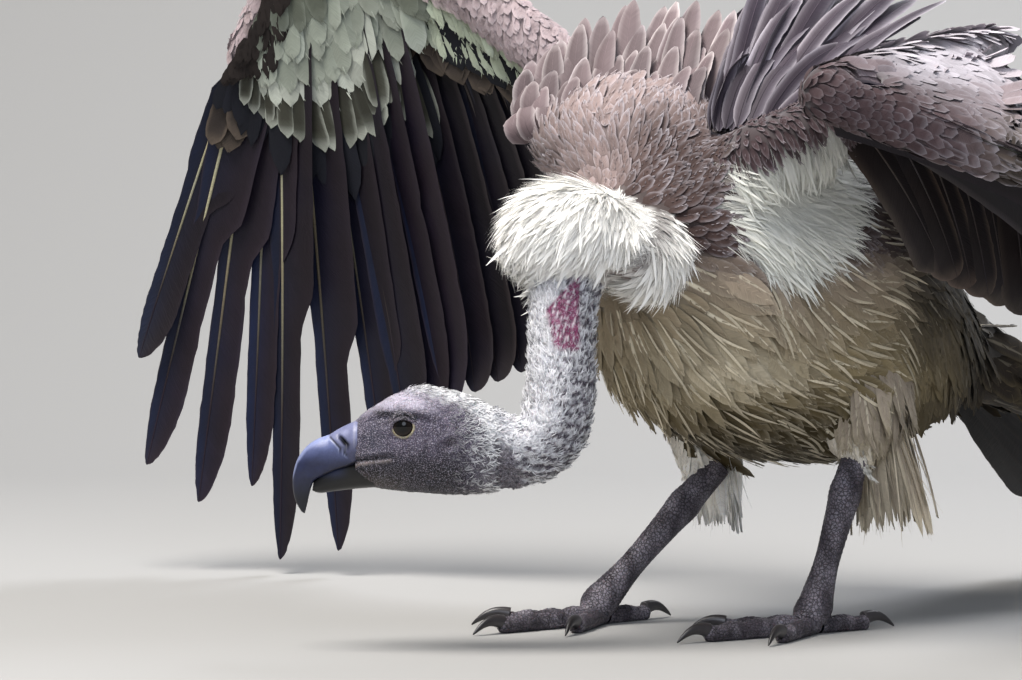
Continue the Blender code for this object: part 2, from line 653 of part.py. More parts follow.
def build_left_wing():
    feathers = []
    count = 10
    for i in range(count):
        s = i / (count - 1)
        root = WRIST_L.lerp(HAND_L, s) + Vector((0.0, 0.004, 0.006))
        reach = 0.33 + 0.17 * math.sin(math.pi * min(1.0, 0.12 + 0.78 * s) * 0.5) - 0.10 * max(0.0, s - 0.75)
        line = Vector((0.36 + 0.18 * s, 0.86 - 0.04 * s, -0.40 + 0.02 * s)).normalized()
        feathers.append(quill(root, root + line * reach, 0.015 if s < 0.5 else 0.017,
                              0.88 - 0.30 * max(0.0, s - 0.35), (0.012, 0.004, 0.016)))
    comb("primaries_left", feathers, 0.014, (0.09, 0.08, 0.09), 3, 2, 0.42,
         clear=("hand_left", "forearm_left"))
    row = spread_row(10, WRIST_L.lerp(ELBOW_L, 0.09), WRIST_L.lerp(ELBOW_L, 0.90),
                     ((0.318, 0.140, 0.232), (0.232, 0.262, 0.222), (0.150, 0.330, 0.238)),
                     0.014, 0.90, (0.006, 0.006, 0.020))
    comb("secondaries_left", row, 0.014, (0.10, 0.09, 0.09), 3, 2, 0.42,
         clear=("forearm_left", "hand_left", "trunk", "upper_arm_left"))
    row = spread_row(4, SHOULDER_L.lerp(ELBOW_L, 0.42), SHOULDER_L.lerp(ELBOW_L, 0.94),
                     ((0.136, 0.072, 0.288), (0.142, 0.112, 0.268), (0.150, 0.160, 0.248)),
                     0.013, 0.84, (0.008, 0.0, 0.0))
    comb("tertials_left", row, 0.012, (0.16, 0.13, 0.12), 2, 2, 0.6,
         clear=("trunk", "upper_arm_left", "forearm_left"))


def build_web():
    """Covert feathers that bridge the folded wrist between forearm and hand."""
    rings = []
    for k in range(5):
        s = 0.30 + 0.62 * k / 4
        near = WRIST_L.lerp(HAND_L, s)
        far = WRIST_L.lerp(ELBOW_L, s)
        across = (far - near) * 0.5
        middle = (far + near) * 0.5 + Vector((0.0, 0.0, 0.022))
        lift = Vector((0.0, 0.0, 1.0)) * (0.0055 - 0.002 * s)
        rings.append([middle - across - lift, middle - lift * 1.2, middle + across - lift,
                      middle + across + lift, middle + lift * 2.4, middle - across + lift])
    loft("wrist_coverts_left", rings, (0.50, 0.44, 0.40))
    trim("wrist_coverts_left", "hand_left", "forearm_left", grow=0.001)


def build_scapulars():
    for label, sign in (("left", 1.0), ("right", -1.0)):
        out = Vector((0.0, 0.0, 0.0)) if sign > 0 else Vector((-0.014, 0.034, -0.010))
        spots = [Vector((x * sign, y, z)) + out for x, y, z in (
            (0.045, -0.088, 0.396), (0.088, -0.058, 0.400),
            (0.016, -0.004, 0.512), (0.032, 0.075, 0.528), (0.090, 0.122, 0.508))]
        row = spread_row(5, spots[0], spots[1], spots[2:], 0.019, 0.70, (0.0, -0.004, 0.010))
        comb("scapulars_" + label, row, 0.010, (0.48, 0.44, 0.42), 2, 2, 0.8,
             clear=("mantle", "trunk", "upper_arm_" + label, "forearm_" + label), margin=0.010)


build_trunk()
build_head()
build_neck()
build_ruff()
build_mantle()
build_tail()
build_leg("left", 1.0, Vector((0.066, 0.040, 0.245)), Vector((0.084, 0.040, 0.182)),
          ANKLE_L, FOOT_L, FOOT_YAW_L)
build_leg("right", -1.0, Vector((-0.066, 0.015, 0.240)), Vector((-0.066, 0.010, 0.165)),
          ANKLE_R, FOOT_R, FOOT_YAW_R)
build_plumes("left", 1.0, ANKLE_L, -0.044)
build_plumes("right", -1.0, ANKLE_R, -0.030)
build_arm("right", SHOULDER_R, ELBOW_R, WRIST_R, HAND_R, (0.0, -0.35, 1.0))
build_arm("left", SHOULDER_L, ELBOW_L, WRIST_L, HAND_L, (0.35, 0.2, 1.0))
build_crest()
build_web()
build_right_wing()
build_left_wing()
build_scapulars()

# ---------------------------------------------------------------- settle on the origin
low = Vector((1e9, 1e9, 1e9))
high = Vector((-1e9, -1e9, -1e9))
for body in made.values():
    for vert in body.data.vertices:
        for axis in range(3):
            low[axis] = min(low[axis], vert.co[axis])
            high[axis] = max(high[axis], vert.co[axis])
shift = Vector((-(low.x + high.x) / 2.0, -(low.y + high.y) / 2.0, -low.z))
for body in made.values():
    for vert in body.data.vertices:
        vert.co += shift
    body.data.update()
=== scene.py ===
import math
import bpy
import bmesh
import numpy as np
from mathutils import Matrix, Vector
from mathutils.bvhtree import BVHTree
from mathutils.kdtree import KDTree


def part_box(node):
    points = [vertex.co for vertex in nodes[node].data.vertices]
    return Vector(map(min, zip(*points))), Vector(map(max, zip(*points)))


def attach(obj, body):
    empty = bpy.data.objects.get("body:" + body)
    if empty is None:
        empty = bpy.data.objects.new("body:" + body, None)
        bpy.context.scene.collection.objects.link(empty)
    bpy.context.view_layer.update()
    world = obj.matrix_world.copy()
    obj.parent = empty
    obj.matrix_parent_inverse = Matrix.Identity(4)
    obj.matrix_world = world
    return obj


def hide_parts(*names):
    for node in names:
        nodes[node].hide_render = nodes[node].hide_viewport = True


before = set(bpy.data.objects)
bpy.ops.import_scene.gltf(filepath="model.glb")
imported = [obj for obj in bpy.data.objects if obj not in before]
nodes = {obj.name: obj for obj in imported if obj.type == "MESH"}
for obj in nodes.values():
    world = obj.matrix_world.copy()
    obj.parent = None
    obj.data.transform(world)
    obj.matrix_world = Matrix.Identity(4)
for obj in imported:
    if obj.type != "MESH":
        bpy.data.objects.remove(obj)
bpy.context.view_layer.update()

up = np.array((0.0, 0.0, 1.0))

# the head is turned toward the bird's right; forward, sideways and height are measured from its middle
head = {"at": (-0.0659, -0.3257), "yaw": math.radians(45.0), "eye": (0.0008, 0.0222, 0.1702), "eyeRadius": 0.0104}

# wing joints, in the bird's own frame before it is set on the origin
wing = {
    "right": {"wrist": (-0.458, -0.038, 0.606), "hand": (-0.574, -0.047, 0.450),
              "elbow": (-0.232, 0.052, 0.430), "shoulder": (-0.092, -0.105, 0.378)},
    "left": {"wrist": (0.212, -0.172, 0.428), "hand": (0.320, -0.042, 0.362),
             "elbow": (0.137, 0.128, 0.456), "shoulder": (0.085, -0.105, 0.375)},
}
legs = {
    "left": {"sign": 1, "ankle": (0.080, 0.024, 0.121), "foot": (0.080, -0.018, 0.020), "yaw": math.radians(-8.0)},
    "right": {"sign": -1, "ankle": (-0.052, -0.014, 0.104), "foot": (-0.086, -0.088, 0.019), "yaw": math.radians(-6.0)},
}
# toe: direction in degrees, length, thickness, joints
toes = {"inner": (-34.0, 0.070, 0.0076, 3), "middle": (-2.0, 0.104, 0.0082, 4), "outer": (30.0, 0.074, 0.0072, 4),
        "hind": (176.0, 0.048, 0.0072, 2)}

# region of the skin: its CAD node, and how far the skin lies under that surface, which is the plumage's outline
flesh = {
    "trunk": ("trunk", 0.010), "mantle": ("mantle", 0.010), "ruff": ("ruff", 0.012), "collar": ("ruff_collar", 0.011),
    "thighLeft": ("thigh_left", 0.010), "thighRight": ("thigh_right", 0.009), "neck": ("neck_lower", 0.007),
    "upperLeft": ("upper_arm_left", 0.008), "upperRight": ("upper_arm_right", 0.008),
    "foreLeft": ("forearm_left", 0.005), "foreRight": ("forearm_right", 0.005), "handLeft": ("hand_left", 0.004),
    "handRight": ("hand_right", 0.003), "web": ("wrist_coverts_left", 0.002), "rump": ("tail_coverts", 0.006),
}
regionNames = list(flesh)
armWeb = ("foreLeft", "handLeft", "web")     # the outer part of the left wing


def linear(code):
    c = [int(code[i:i + 2], 16) / 255 for i in (1, 3, 5)]
    return tuple(v / 12.92 if v <= 0.04045 else ((v + 0.055) / 1.055) ** 2.4 for v in c)


# belly, flank and cheek are darker than the plumage's own colour: they also carry painted shade
inkTable = {k: np.array(linear(v)) for k, v in {
    "white": "#fffdf8", "cream": "#d5cab2", "ruffShade": "#dcd8cc", "olive": "#887a5c", "oliveDark": "#62563f",
    "breast": "#a5968a", "belly": "#30260c", "flank": "#191610", "mantle": "#92817e", "mantleDark": "#443532",
    "thigh": "#9d9182", "thighTip": "#a89e82", "rump": "#38312a", "wristBrown": "#4a3b3d", "covertPink": "#8f8184",
    "covertTop": "#c6c1c8", "underShade": "#5a5f54", "dorsal": "#8b7c6c", "neckWool": "#eeeef2",
    "neckBare": "#3d3640", "magenta": "#842d5c", "faceGrey": "#514a5c", "cheek": "#1b191d", "crown": "#eeeef0",
    "armBuff": "#b09fa1", "foldBrown": "#6a4033", "axil": "#efefe6", "dorsalDark": "#2e2825", "nightBlue": "#0f111a",
    "underDark": "#32322a", "underWhite": "#b0b5aa", "underMid": "#8c9387", "brownDark": "#211b19",
    "armGreen": "#b4bda6", "greyDark": "#4a4148", "greyMid": "#756a70",
}.items()}


def tint(code):
    # a plumage colour by name, any other by its code; colours already worked out pass through
    if not isinstance(code, str):
        return code
    return inkTable[code] if code in inkTable else np.array(linear(code))


def mix(a, b, t):
    t = np.asarray(t)[..., None]
    return np.asarray(tint(a)) * (1 - t) + np.asarray(tint(b)) * t


def layered(colour, *coats):
    # lays one colour after another over the ground, each with its own share
    for code, share in coats:
        colour = mix(colour, code, share)
    return colour


def opaque(colour):
    return np.concatenate((colour, np.ones(colour.shape[:-1] + (1,))), axis=-1)


def headRaw(forward, sideways, height):
    c, s = math.cos(head["yaw"]), math.sin(head["yaw"])
    forward, sideways, height = np.broadcast_arrays(*(np.asarray(v, float) for v in (forward, sideways, height)))
    return np.stack((head["at"][0] - s * forward + c * sideways,
                     head["at"][1] - c * forward - s * sideways, height), axis=-1)


low, high = (np.array(v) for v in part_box("eye_left"))
shift = (low + high) / 2 - headRaw(*head["eye"])      # from the bird's own frame to the room


def headPoint(forward, sideways, height):
    return headRaw(forward, sideways, height) + shift


def headLocal(points):
    c, s = math.cos(head["yaw"]), math.sin(head["yaw"])
    q = points - shift - np.array((head["at"][0], head["at"][1], 0.0))
    return np.stack((-s * q[..., 0] - c * q[..., 1], c * q[..., 0] - s * q[..., 1], q[..., 2]), axis=-1)


def bird(*p):
    return np.array(p, float) + shift


wristAt = bird(*wing["left"]["wrist"])
magentaAt = headRaw(-0.1220, 0.0100, 0.2560)


def breadth(q):
    # place along the bird's diagonal, from its right front to its left rear
    return q @ np.array((0.7071, 0.7071, 0.0)) + 0.1952


def unit(v):
    return v / np.maximum(np.linalg.norm(v, axis=-1, keepdims=True), 1e-12)


def smooth(x, a, b):
    t = np.clip((x - a) / (b - a), 0.0, 1.0)
    return t * t * (3 - 2 * t)


def bell(x, size):
    return np.exp(-(x / size) ** 2)


def nearness(points, spot, full, none):
    return 1 - smooth(np.linalg.norm(points - spot, axis=-1), full, none)


def rounded(wave, power):
    return np.sign(wave) * np.abs(wave) ** power


def wobble(points, size, seed=0):
    # smooth wander between -1 and 1 over space, one wave about size metres long
    rng = np.random.default_rng(seed)
    out = 0.0
    for k in range(5):
        way = unit(rng.normal(size=3)) * 2 * math.pi / (size * (0.7 + 0.35 * k))
        out = out + np.sin(points @ way + rng.uniform(0, 6.3)) / 5
    return out * 1.6


def fromLine(f, z, line):
    # distance to a short line, and the share along it
    (ax, az), (bx, bz) = line
    dx, dz = bx - ax, bz - az
    t = np.clip(((f - ax) * dx + (z - az) * dz) / (dx * dx + dz * dz), 0, 1)
    return np.hypot(f - ax - t * dx, z - az - t * dz), t


def gridQuads(rows, cols, wrap=False):
    r, c = np.meshgrid(np.arange(rows - 1), np.arange(cols if wrap else cols - 1), indexing="ij")
    n = (c + 1) % cols
    return np.stack((r * cols + c, r * cols + n, (r + 1) * cols + n, (r + 1) * cols + c), axis=-1).reshape(-1, 4)


def buildMesh(name, verts, quads, materials, values=None, bake=None, facing=None):
    mesh = bpy.data.meshes.new(name)
    verts = np.asarray(verts, np.float32).reshape(-1, 3)
    quads = np.asarray(quads, np.int32).reshape(-1, 4)
    mesh.vertices.add(len(verts))
    mesh.vertices.foreach_set("co", verts.ravel())
    mesh.loops.add(quads.size)
    mesh.loops.foreach_set("vertex_index", quads.ravel())
    mesh.polygons.add(len(quads))
    mesh.polygons.foreach_set("loop_start", np.arange(0, quads.size, 4, dtype=np.int32))
    mesh.polygons.foreach_set("use_smooth", np.ones(len(quads), bool))
    mesh.update(calc_edges=True)
    if facing is not None:
        mesh.normals_split_custom_set_from_vertices(facing.tolist())
    for key, data in (values or {}).items():
        data = np.asarray(data, np.float32).reshape(len(verts), -1)
        kind, field = {3: ("FLOAT_VECTOR", "vector"), 4: ("FLOAT_COLOR", "color")}[data.shape[1]]
        mesh.attributes.new(key, kind, "POINT").data.foreach_set(field, data.ravel())
    if bake is not None:
        layer = mesh.uv_layers.new(name="OFBake")
        layer.data.foreach_set("uv", np.asarray(bake, np.float32).reshape(-1, 2)[quads.ravel()].ravel())
    piece = bpy.data.objects.new(name, mesh)
    bpy.context.scene.collection.objects.link(piece)
    for material in materials:
        mesh.materials.append(material)
    return piece


def own(piece, slot, *replaced):
    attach(piece, "root")
    if replaced:
        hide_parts(*replaced)
    return piece


def spline(table, count):
    # a smooth run through the rows of a small table, evenly spaced in row number
    table = np.asarray(table, float)
    t = np.linspace(0, len(table) - 1, count)
    i = np.clip(t.astype(int), 0, len(table) - 2)
    f = (t - i)[:, None]
    pad = np.vstack((2 * table[0] - table[1], table, 2 * table[-1] - table[-2]))
    a, b, c, d = pad[i], pad[i + 1], pad[i + 2], pad[i + 3]
    return 0.5 * (2 * b + (c - a) * f + (2 * a - 5 * b + 4 * c - d) * f ** 2 + (3 * b - a - 3 * c + d) * f ** 3)


def capped(rings):
    # rounds off both open ends of a row of rings
    first, last = rings[0].mean(0), rings[-1].mean(0)
    return np.concatenate(([first + (rings[0] - first) * k for k in (0.02, 0.6)], rings,
                           [last + (rings[-1] - last) * k for k in (0.6, 0.02)]))


def around(path, sizes, side, count):
    # rings across a path: sizes holds half width and half height for each point
    ahead = unit(np.gradient(path, axis=0))
    across = unit(side - ahead * (ahead @ side)[:, None])
    rise = np.cross(ahead, across)
    a = (np.arange(count) + 0.5) / count * 2 * math.pi
    return path[:, None] + across[:, None] * (np.cos(a)[None, :, None] * sizes[:, 0, None, None]) \
        + rise[:, None] * (np.sin(a)[None, :, None] * sizes[:, 1, None, None])


def feed(tree, socket, value):
    # an input takes another node's output or a constant
    if isinstance(value, bpy.types.NodeSocket):
        tree.links.new(value, socket)
    else:
        socket.default_value = value


def addNode(tree, kind, settings=None, links=None):
    node = tree.nodes.new(kind)
    for key, value in (settings or {}).items():
        if hasattr(node, key):
            setattr(node, key, value)
        else:
            node.inputs[key].default_value = value
    for key, source in (links or {}).items():
        tree.links.new(source, node.inputs[key])
    return node


def newMaterial(name, **shader):
    material = bpy.data.materials.new(name)
    material.use_nodes = True
    tree = material.node_tree
    principled = tree.nodes["Principled BSDF"]
    for key, value in shader.items():
        principled.inputs[key.replace("_", " ")].default_value = value
    return material, tree, principled


def blend(tree, share, a, b, mode="MIX"):
    node = addNode(tree, "ShaderNodeMix", {"data_type": "RGBA", "blend_type": mode})
    for index, value in ((0, share), (6, a), (7, b)):
        feed(tree, node.inputs[index], (*value, 1.0) if isinstance(value, tuple) else value)
    return node.outputs[2]


def sums(tree, operation, *values):
    node = addNode(tree, "ShaderNodeMath", {"operation": operation})
    for index, value in enumerate(values):
        feed(tree, node.inputs[index], value)
    return node.outputs[0]


def times(tree, first, *others):
    for value in others:
        first = sums(tree, "MULTIPLY", first, value)
    return first


def gain(tree, value, slope, base):
    return sums(tree, "MULTIPLY_ADD", value, slope, base)


def triple(tree, x, y, z):
    node = addNode(tree, "ShaderNodeCombineXYZ")
    for index, value in enumerate((x, y, z)):
        feed(tree, node.inputs[index], value)
    return node.outputs[0]


def darkened(tree, colour, shade):
    return blend(tree, 1.0, colour, triple(tree, shade, shade, shade), "MULTIPLY")


def attribute(tree, name, output="Vector"):
    return addNode(tree, "ShaderNodeAttribute", {"attribute_name": name}).outputs[output]


def split(tree, name):
    return addNode(tree, "ShaderNodeSeparateXYZ", links={0: attribute(tree, name)}).outputs


def noise(tree, vector, scale, detail=3.0, rough=0.55, seed=None):
    node = addNode(tree, "ShaderNodeTexNoise", {"Scale": scale, "Detail": detail, "Roughness": rough})
    if seed is not None:
        node.noise_dimensions = "4D"
        tree.links.new(seed, node.inputs["W"])
    tree.links.new(vector, node.inputs["Vector"])
    return node.outputs["Fac"]


def ramp(tree, source, stops):
    node = addNode(tree, "ShaderNodeValToRGB", links={"Fac": source})
    while len(node.color_ramp.elements) < len(stops):
        node.color_ramp.elements.new(0.5)
    for element, (at, colour) in zip(node.color_ramp.elements, stops):
        element.position, element.color = at, (*linear(colour), 1.0)
    return node.outputs["Color"]


def surface(tree, principled, colour, height=None, strength=0.0, deep=0.0):
    # the last step of a material: its colour, and a relief of the given depth in metres
    tree.links.new(colour, principled.inputs["Base Color"])
    if height is not None:
        relief = addNode(tree, "ShaderNodeBump", {"Strength": strength, "Distance": deep}, {"Height": height})
        tree.links.new(relief.outputs["Normal"], principled.inputs["Normal"])


# hooked barbs of a feather vane: fine lines slant off the shaft, so the vane catches light in streaks and never
# looks like sheet; barb is drawn three times coarser than life, so that it still shows from a few steps away
vaneLooks = {
    "contour": {"rough": 0.74, "sheen": 0.05, "gloss": 0.14, "slant": 0.9, "barb": 0.0013, "fibre": 0.55, "vary": 0.34,
                "streak": 0.24, "streakColour": "#e6dcc4", "bump": 0.35, "sheenWash": 0.0},
    "flight": {"rough": 0.50, "sheen": 0.0, "gloss": 0.26, "slant": 1.1, "barb": 0.0016, "fibre": 0.60, "vary": 0.35,
               "streak": 0.05, "streakColour": "#8d8379", "bump": 0.45, "sheenWash": 0.6},
    "covert": {"rough": 0.62, "sheen": 0.06, "gloss": 0.20, "slant": 1.0, "barb": 0.0013, "fibre": 0.45, "vary": 0.25,
               "streak": 0.06, "streakColour": "#51454a", "bump": 0.35, "sheenWash": 0.1},
}


def vaneMaterial(name, looks):
    material, tree, principled = newMaterial(name, Roughness=looks["rough"], Sheen_Weight=looks["sheen"],
                                             Specular_IOR_Level=looks["gloss"])
    across, along, chance = split(tree, "share")
    wide, far, tone = split(tree, "span")
    place, seed = triple(tree, wide, far, 0.0), times(tree, chance, 57.0)
    slant = sums(tree, "SUBTRACT", far, times(tree, sums(tree, "ABSOLUTE", wide), looks["slant"]))
    bend = gain(tree, noise(tree, place, 90.0, 2.0, 0.5, seed), 0.006, slant)
    line = triple(tree, times(tree, bend, 1.0 / looks["barb"]), times(tree, wide, 60.0), 0.0)
    fibre = noise(tree, line, 1.0, 2.0, 0.6, seed)
    shade = times(tree, gain(tree, fibre, looks["fibre"], 1.0 - looks["fibre"] * 0.5),
                  gain(tree, noise(tree, place, 45.0, 2.0, 0.5, seed), 0.5, 0.75),
                  gain(tree, chance, looks["vary"], 1.0 - looks["vary"] * 0.5))
    colour = darkened(tree, attribute(tree, "plume", "Color"), shade)
    # a painted sheen: patches of rose and blue washed over the colour
    if looks["sheenWash"]:
        sheenPatches = ramp(tree, noise(tree, place, 14.0, 1.0, 0.5, seed),
                    ((0.30, "#e9d3cf"), (0.55, "#ffffff"), (0.75, "#bfc8ff")))
        colour = blend(tree, looks["sheenWash"], colour, blend(tree, 1.0, colour, sheenPatches, "MULTIPLY"))
    thin = times(tree, sums(tree, "SUBTRACT", 1.15, along), looks["streak"])
    shaft = addNode(tree, "ShaderNodeMapRange", {"interpolation_type": "SMOOTHSTEP", "From Min": 0.5, "From Max": 1.6,
                                                 "To Min": 1.0, "To Max": 0.0},
                    {"Value": sums(tree, "DIVIDE", sums(tree, "ABSOLUTE", across), thin)})
    colour = blend(tree, times(tree, shaft.outputs[0], tone), colour, linear(looks["streakColour"]))
    surface(tree, principled, colour, fibre, looks["bump"], 0.0008)
    return material


def downMaterial(name, glow):
    # loose down: thin threads that pass light on, so shadows between them stay soft and pale
    material, tree, principled = newMaterial(
        name, Roughness=0.85, Sheen_Weight=0.4, Sheen_Roughness=0.6, Specular_IOR_Level=0.15,
        Subsurface_Weight=glow, Subsurface_Scale=0.004, Subsurface_Radius=(1.0, 0.95, 0.88))
    along, chance = split(tree, "share")[1:]
    shade = times(tree, gain(tree, along, 0.12, 0.90), gain(tree, chance, 0.12, 0.93))
    surface(tree, principled, darkened(tree, attribute(tree, "plume", "Color"), shade))
    return material


def skinMaterial(name, rough, cells, bump, gloss=0.35, pale=0.0, crease=0.30):
    # bare bird skin: small raised pads, painted shade in the creases, pale bristle stubs between them, slightly greasy
    material, tree, principled = newMaterial(name, Roughness=rough, Specular_IOR_Level=gloss,
                                             Subsurface_Weight=0.06, Subsurface_Scale=0.003)
    span = attribute(tree, "span")
    pads = addNode(tree, "ShaderNodeTexVoronoi", {"Scale": cells, "feature": "DISTANCE_TO_EDGE"}, {"Vector": span})
    creases = addNode(tree, "ShaderNodeMapRange", {"From Max": 0.16, "interpolation_type": "SMOOTHSTEP"},
                      {"Value": pads.outputs["Distance"]}).outputs[0]
    fleck = addNode(tree, "ShaderNodeMapRange", {"From Min": 0.50, "From Max": 0.66},
                    {"Value": noise(tree, span, 1150.0, 1.0)})
    speck = noise(tree, span, 900.0, 2.0)
    # the creases take painted shade
    shade = times(tree, gain(tree, creases, crease, 1.04 - crease),
                  gain(tree, noise(tree, span, 140.0, 4.0), 0.9, 0.55), gain(tree, speck, 0.7, 0.65))
    ground = darkened(tree, attribute(tree, "plume", "Color"), shade)
    colour = blend(tree, times(tree, fleck.outputs[0], pale), ground, linear("#bdb6c4"))
    surface(tree, principled, colour, sums(tree, "ADD", creases, times(tree, speck, 0.6)), bump, 0.0006)
    return material


def hornMaterial(name, rough, coat, bump, stretch):
    # keratin: smooth growth sheets with faint length lines and a dull wax gloss
    material, tree, principled = newMaterial(name, Roughness=rough, Specular_IOR_Level=0.5, Coat_Weight=coat,
                                             Coat_Roughness=0.25)
    span = attribute(tree, "span")
    drawn = addNode(tree, "ShaderNodeMapping", {"Scale": stretch}, {"Vector": span}).outputs[0]
    lines = noise(tree, drawn, 1.0, 5.0, 0.6)
    shade = times(tree, gain(tree, lines, 0.5, 0.75), gain(tree, noise(tree, span, 160.0, 3.0), 0.6, 0.70))
    surface(tree, principled, darkened(tree, attribute(tree, "plume", "Color"), shade), lines, bump, 0.0004)
    return material


eyeLooks = {"pupil": 0.36, "iris": 0.74, "irisInner": "#0b0605", "irisOuter": "#1c110c", "white": "#0d0a09"}


def eyeMaterial(looks):
    # wet cornea over a dark brown iris: a sharp highlight and almost black depth
    material, tree, principled = newMaterial("eye, wet cornea over brown iris", Roughness=0.04, Specular_IOR_Level=0.22,
                                             Coat_Weight=0.25, Coat_Roughness=0.01)
    x, y = split(tree, "span")[:2]
    reach = sums(tree, "DIVIDE", sums(tree, "SQRT", sums(tree, "ADD", times(tree, x, x), times(tree, y, y))), 10.0)
    turn = times(tree, sums(tree, "ARCTAN2", y, x), 9.0)
    rays = noise(tree, triple(tree, turn, times(tree, reach, 3.0), 0.0), 1.0, 3.0)
    shades = ramp(tree, reach, ((0.0, "#050404"), (looks["pupil"] - 0.02, "#050404"),
                                (looks["pupil"] + 0.02, looks["irisInner"]), (0.62, looks["irisOuter"]),
                                (looks["iris"], "#140e0a"), (0.9, looks["white"])))
    surface(tree, principled, darkened(tree, shades, gain(tree, rays, 0.9, 0.55)))
    return material


contour = vaneMaterial("body contour feathers, grown vanes", vaneLooks["contour"])
flight = vaneMaterial("flight feathers, stiff dark vanes", vaneLooks["flight"])
covertVane = vaneMaterial("wing coverts, soft overlapping vanes", vaneLooks["covert"])
white = downMaterial("white ruff down, loose threads", 0.08)
wool = downMaterial("neck and head wool, short down", 0.12)
contourSkin = downMaterial("feathered skin, hidden under the coat", 0.0)
bareSkin = skinMaterial("bare head skin, small pads and creases", 0.50, 620.0, 0.6, pale=0.55)
legScale = skinMaterial("leg scales, horny plates with dull creases", 0.48, 380.0, 1.0, 0.40, crease=0.75)
billHorn = hornMaterial("bill horn, slate keratin", 0.40, 0.0, 0.25, (260.0, 900.0, 420.0))
cereHorn = hornMaterial("cere, soft waxy skin", 0.46, 0.15, 0.35, (700.0, 700.0, 700.0))
clawHorn = hornMaterial("claw horn, dark keratin", 0.36, 0.2, 0.3, (500.0, 900.0, 500.0))
print("materials")


# the head in head coordinates: forward place, top, bottom and half width of its stations, then the neck behind it
headStations = ((-0.0700, 0.1840, 0.1225, 0.0265), (-0.0520, 0.1932, 0.1200, 0.0298), (-0.0320, 0.1990, 0.1200, 0.0315),
                (-0.0120, 0.2008, 0.1212, 0.0312), (0.0060, 0.1964, 0.1228, 0.0288), (0.0200, 0.1886, 0.1248, 0.0243),
                (0.0300, 0.1820, 0.1272, 0.0200), (0.0366, 0.1764, 0.1320, 0.0168))
neckPath = ((-0.0704, 0, 0.1532), (-0.0880, 0, 0.1522), (-0.1040, -0.001, 0.1580), (-0.1145, -0.003, 0.1715),
            (-0.1195, -0.006, 0.1950), (-0.1205, -0.011, 0.2250), (-0.1220, -0.018, 0.2560), (-0.1250, -0.028, 0.2800),
            (-0.1290, -0.040, 0.3020))
neckSizes = ((0.0265, 0.0305), (0.0268, 0.0278), (0.0268, 0.0272), (0.0268, 0.0276), (0.0262, 0.0272),
             (0.0256, 0.0262), (0.0262, 0.0262), (0.0280, 0.0280), (0.0300, 0.0300))
headRows, headCols = 150, 132
roundness = 0.88          # how round the head is in section: 1 is an ellipse
eyeAt = (0.0002, 0.1732)
eyeDeep = 0.0010          # how much deeper than the CAD eyeball the seen one sits
gape = ((0.0050, 0.0085, 0.0256, 0.0341, 0.0435, 0.0530, 0.0608, 0.0660),
        (0.1500, 0.1507, 0.1484, 0.1468, 0.1422, 0.1393, 0.1355, 0.1325))
browLine = ((-0.026, -0.012, 0.0008, 0.018, 0.034, 0.040), (0.1790, 0.1836, 0.1850, 0.1834, 0.1775, 0.1745))
headTable = np.array(headStations)


def earGap(f, z):
    return np.hypot((f + 0.0357) * 0.8, z - 0.1611)


def headForm(f, s, z):
    # pushes the plain head form out and in: brow, socket, gape, cheek, ear, and the loose skin's folds
    half = np.interp(f, headTable[:, 0], headTable[:, 3])
    flank = smooth(np.abs(s) / half, 0.35, 0.8)
    fromEye = np.hypot(f - eyeAt[0], z - eyeAt[1])
    brow, mouth, ear = z - np.interp(f, *browLine), z - np.interp(f, *gape), earGap(f, z)
    browShare = smooth(f, -0.028, -0.012) * (1 - smooth(f, 0.030, 0.040))
    push = -0.0016 * bell(fromEye, 0.0125)
    push += browShare * (0.0027 * bell(brow - 0.0012, 0.0036)
                         - 0.0013 * bell(brow + 0.0042, 0.0022) * smooth(fromEye, 0.008, 0.013))
    push += smooth(f, 0.004, 0.011) * (-0.0024 * bell(mouth, 0.0012) + 0.0010 * bell(mouth + 0.0036, 0.0022)
                                       + 0.0008 * bell(mouth - 0.0034, 0.002))
    push += -0.0030 * bell(ear, 0.0032) + 0.0008 * bell(ear - 0.0062, 0.0020)
    push += 0.0013 * bell(f + 0.006, 0.014) * bell(z - 0.1480, 0.009)
    push += -0.0011 * bell(f + 0.020, 0.011) * bell(z - 0.176, 0.008)
    push += -0.0008 * bell(f - 0.023, 0.007) * bell(z - 0.163, 0.008)
    p = np.stack((f, s, z), axis=-1)
    rings = np.sin((fromEye - 0.0005 * np.sin(f * 420)) * 2 * math.pi / 0.0026)
    rings = rings * 0.00016 * bell(fromEye - 0.0165, 0.0045)
    folds = wobble(p, 0.0065, 3) * 0.00034 + wobble(p * (1, 1, 1.9), 0.0034, 4) * 0.00020
    push += rings + folds * smooth(fromEye, 0.0105, 0.016)
    push -= 0.0120 * (1 - smooth(fromEye, 0.0078, 0.0096)) * (half > 0.01)
    return f, s + np.sign(s) * flank * push, z + (1 - flank) * 0.5 * folds


def headSkin():
    # the head's rings, and the neck's behind them
    a = (np.arange(headCols) + 0.5) / headCols * 2 * math.pi
    table = spline(headStations, headRows)[::-1]
    f, top, bottom, half = (table[:, i, None] for i in range(4))
    z = (top + bottom) / 2 + (top - bottom) / 2 * rounded(np.sin(a), roundness)
    front = headPoint(*headForm(np.broadcast_to(f, z.shape), half * rounded(np.cos(a), roundness), z))
    path = spline([headPoint(*p) for p in ((-0.060, 0, 0.1562),) + neckPath], headRows)
    sizes = spline(((0.0285, 0.0325),) + neckSizes, headRows) - 0.0016
    back = around(path, sizes, headPoint(0, 1, 0) - headPoint(0, 0, 0), headCols)
    fold = wobble(back, 0.010, 9) * 0.0010 + wobble(back * (1, 1, 0.5), 0.005, 8) * 0.0005
    return front, back + unit(back - path[:, None]) * fold[..., None]


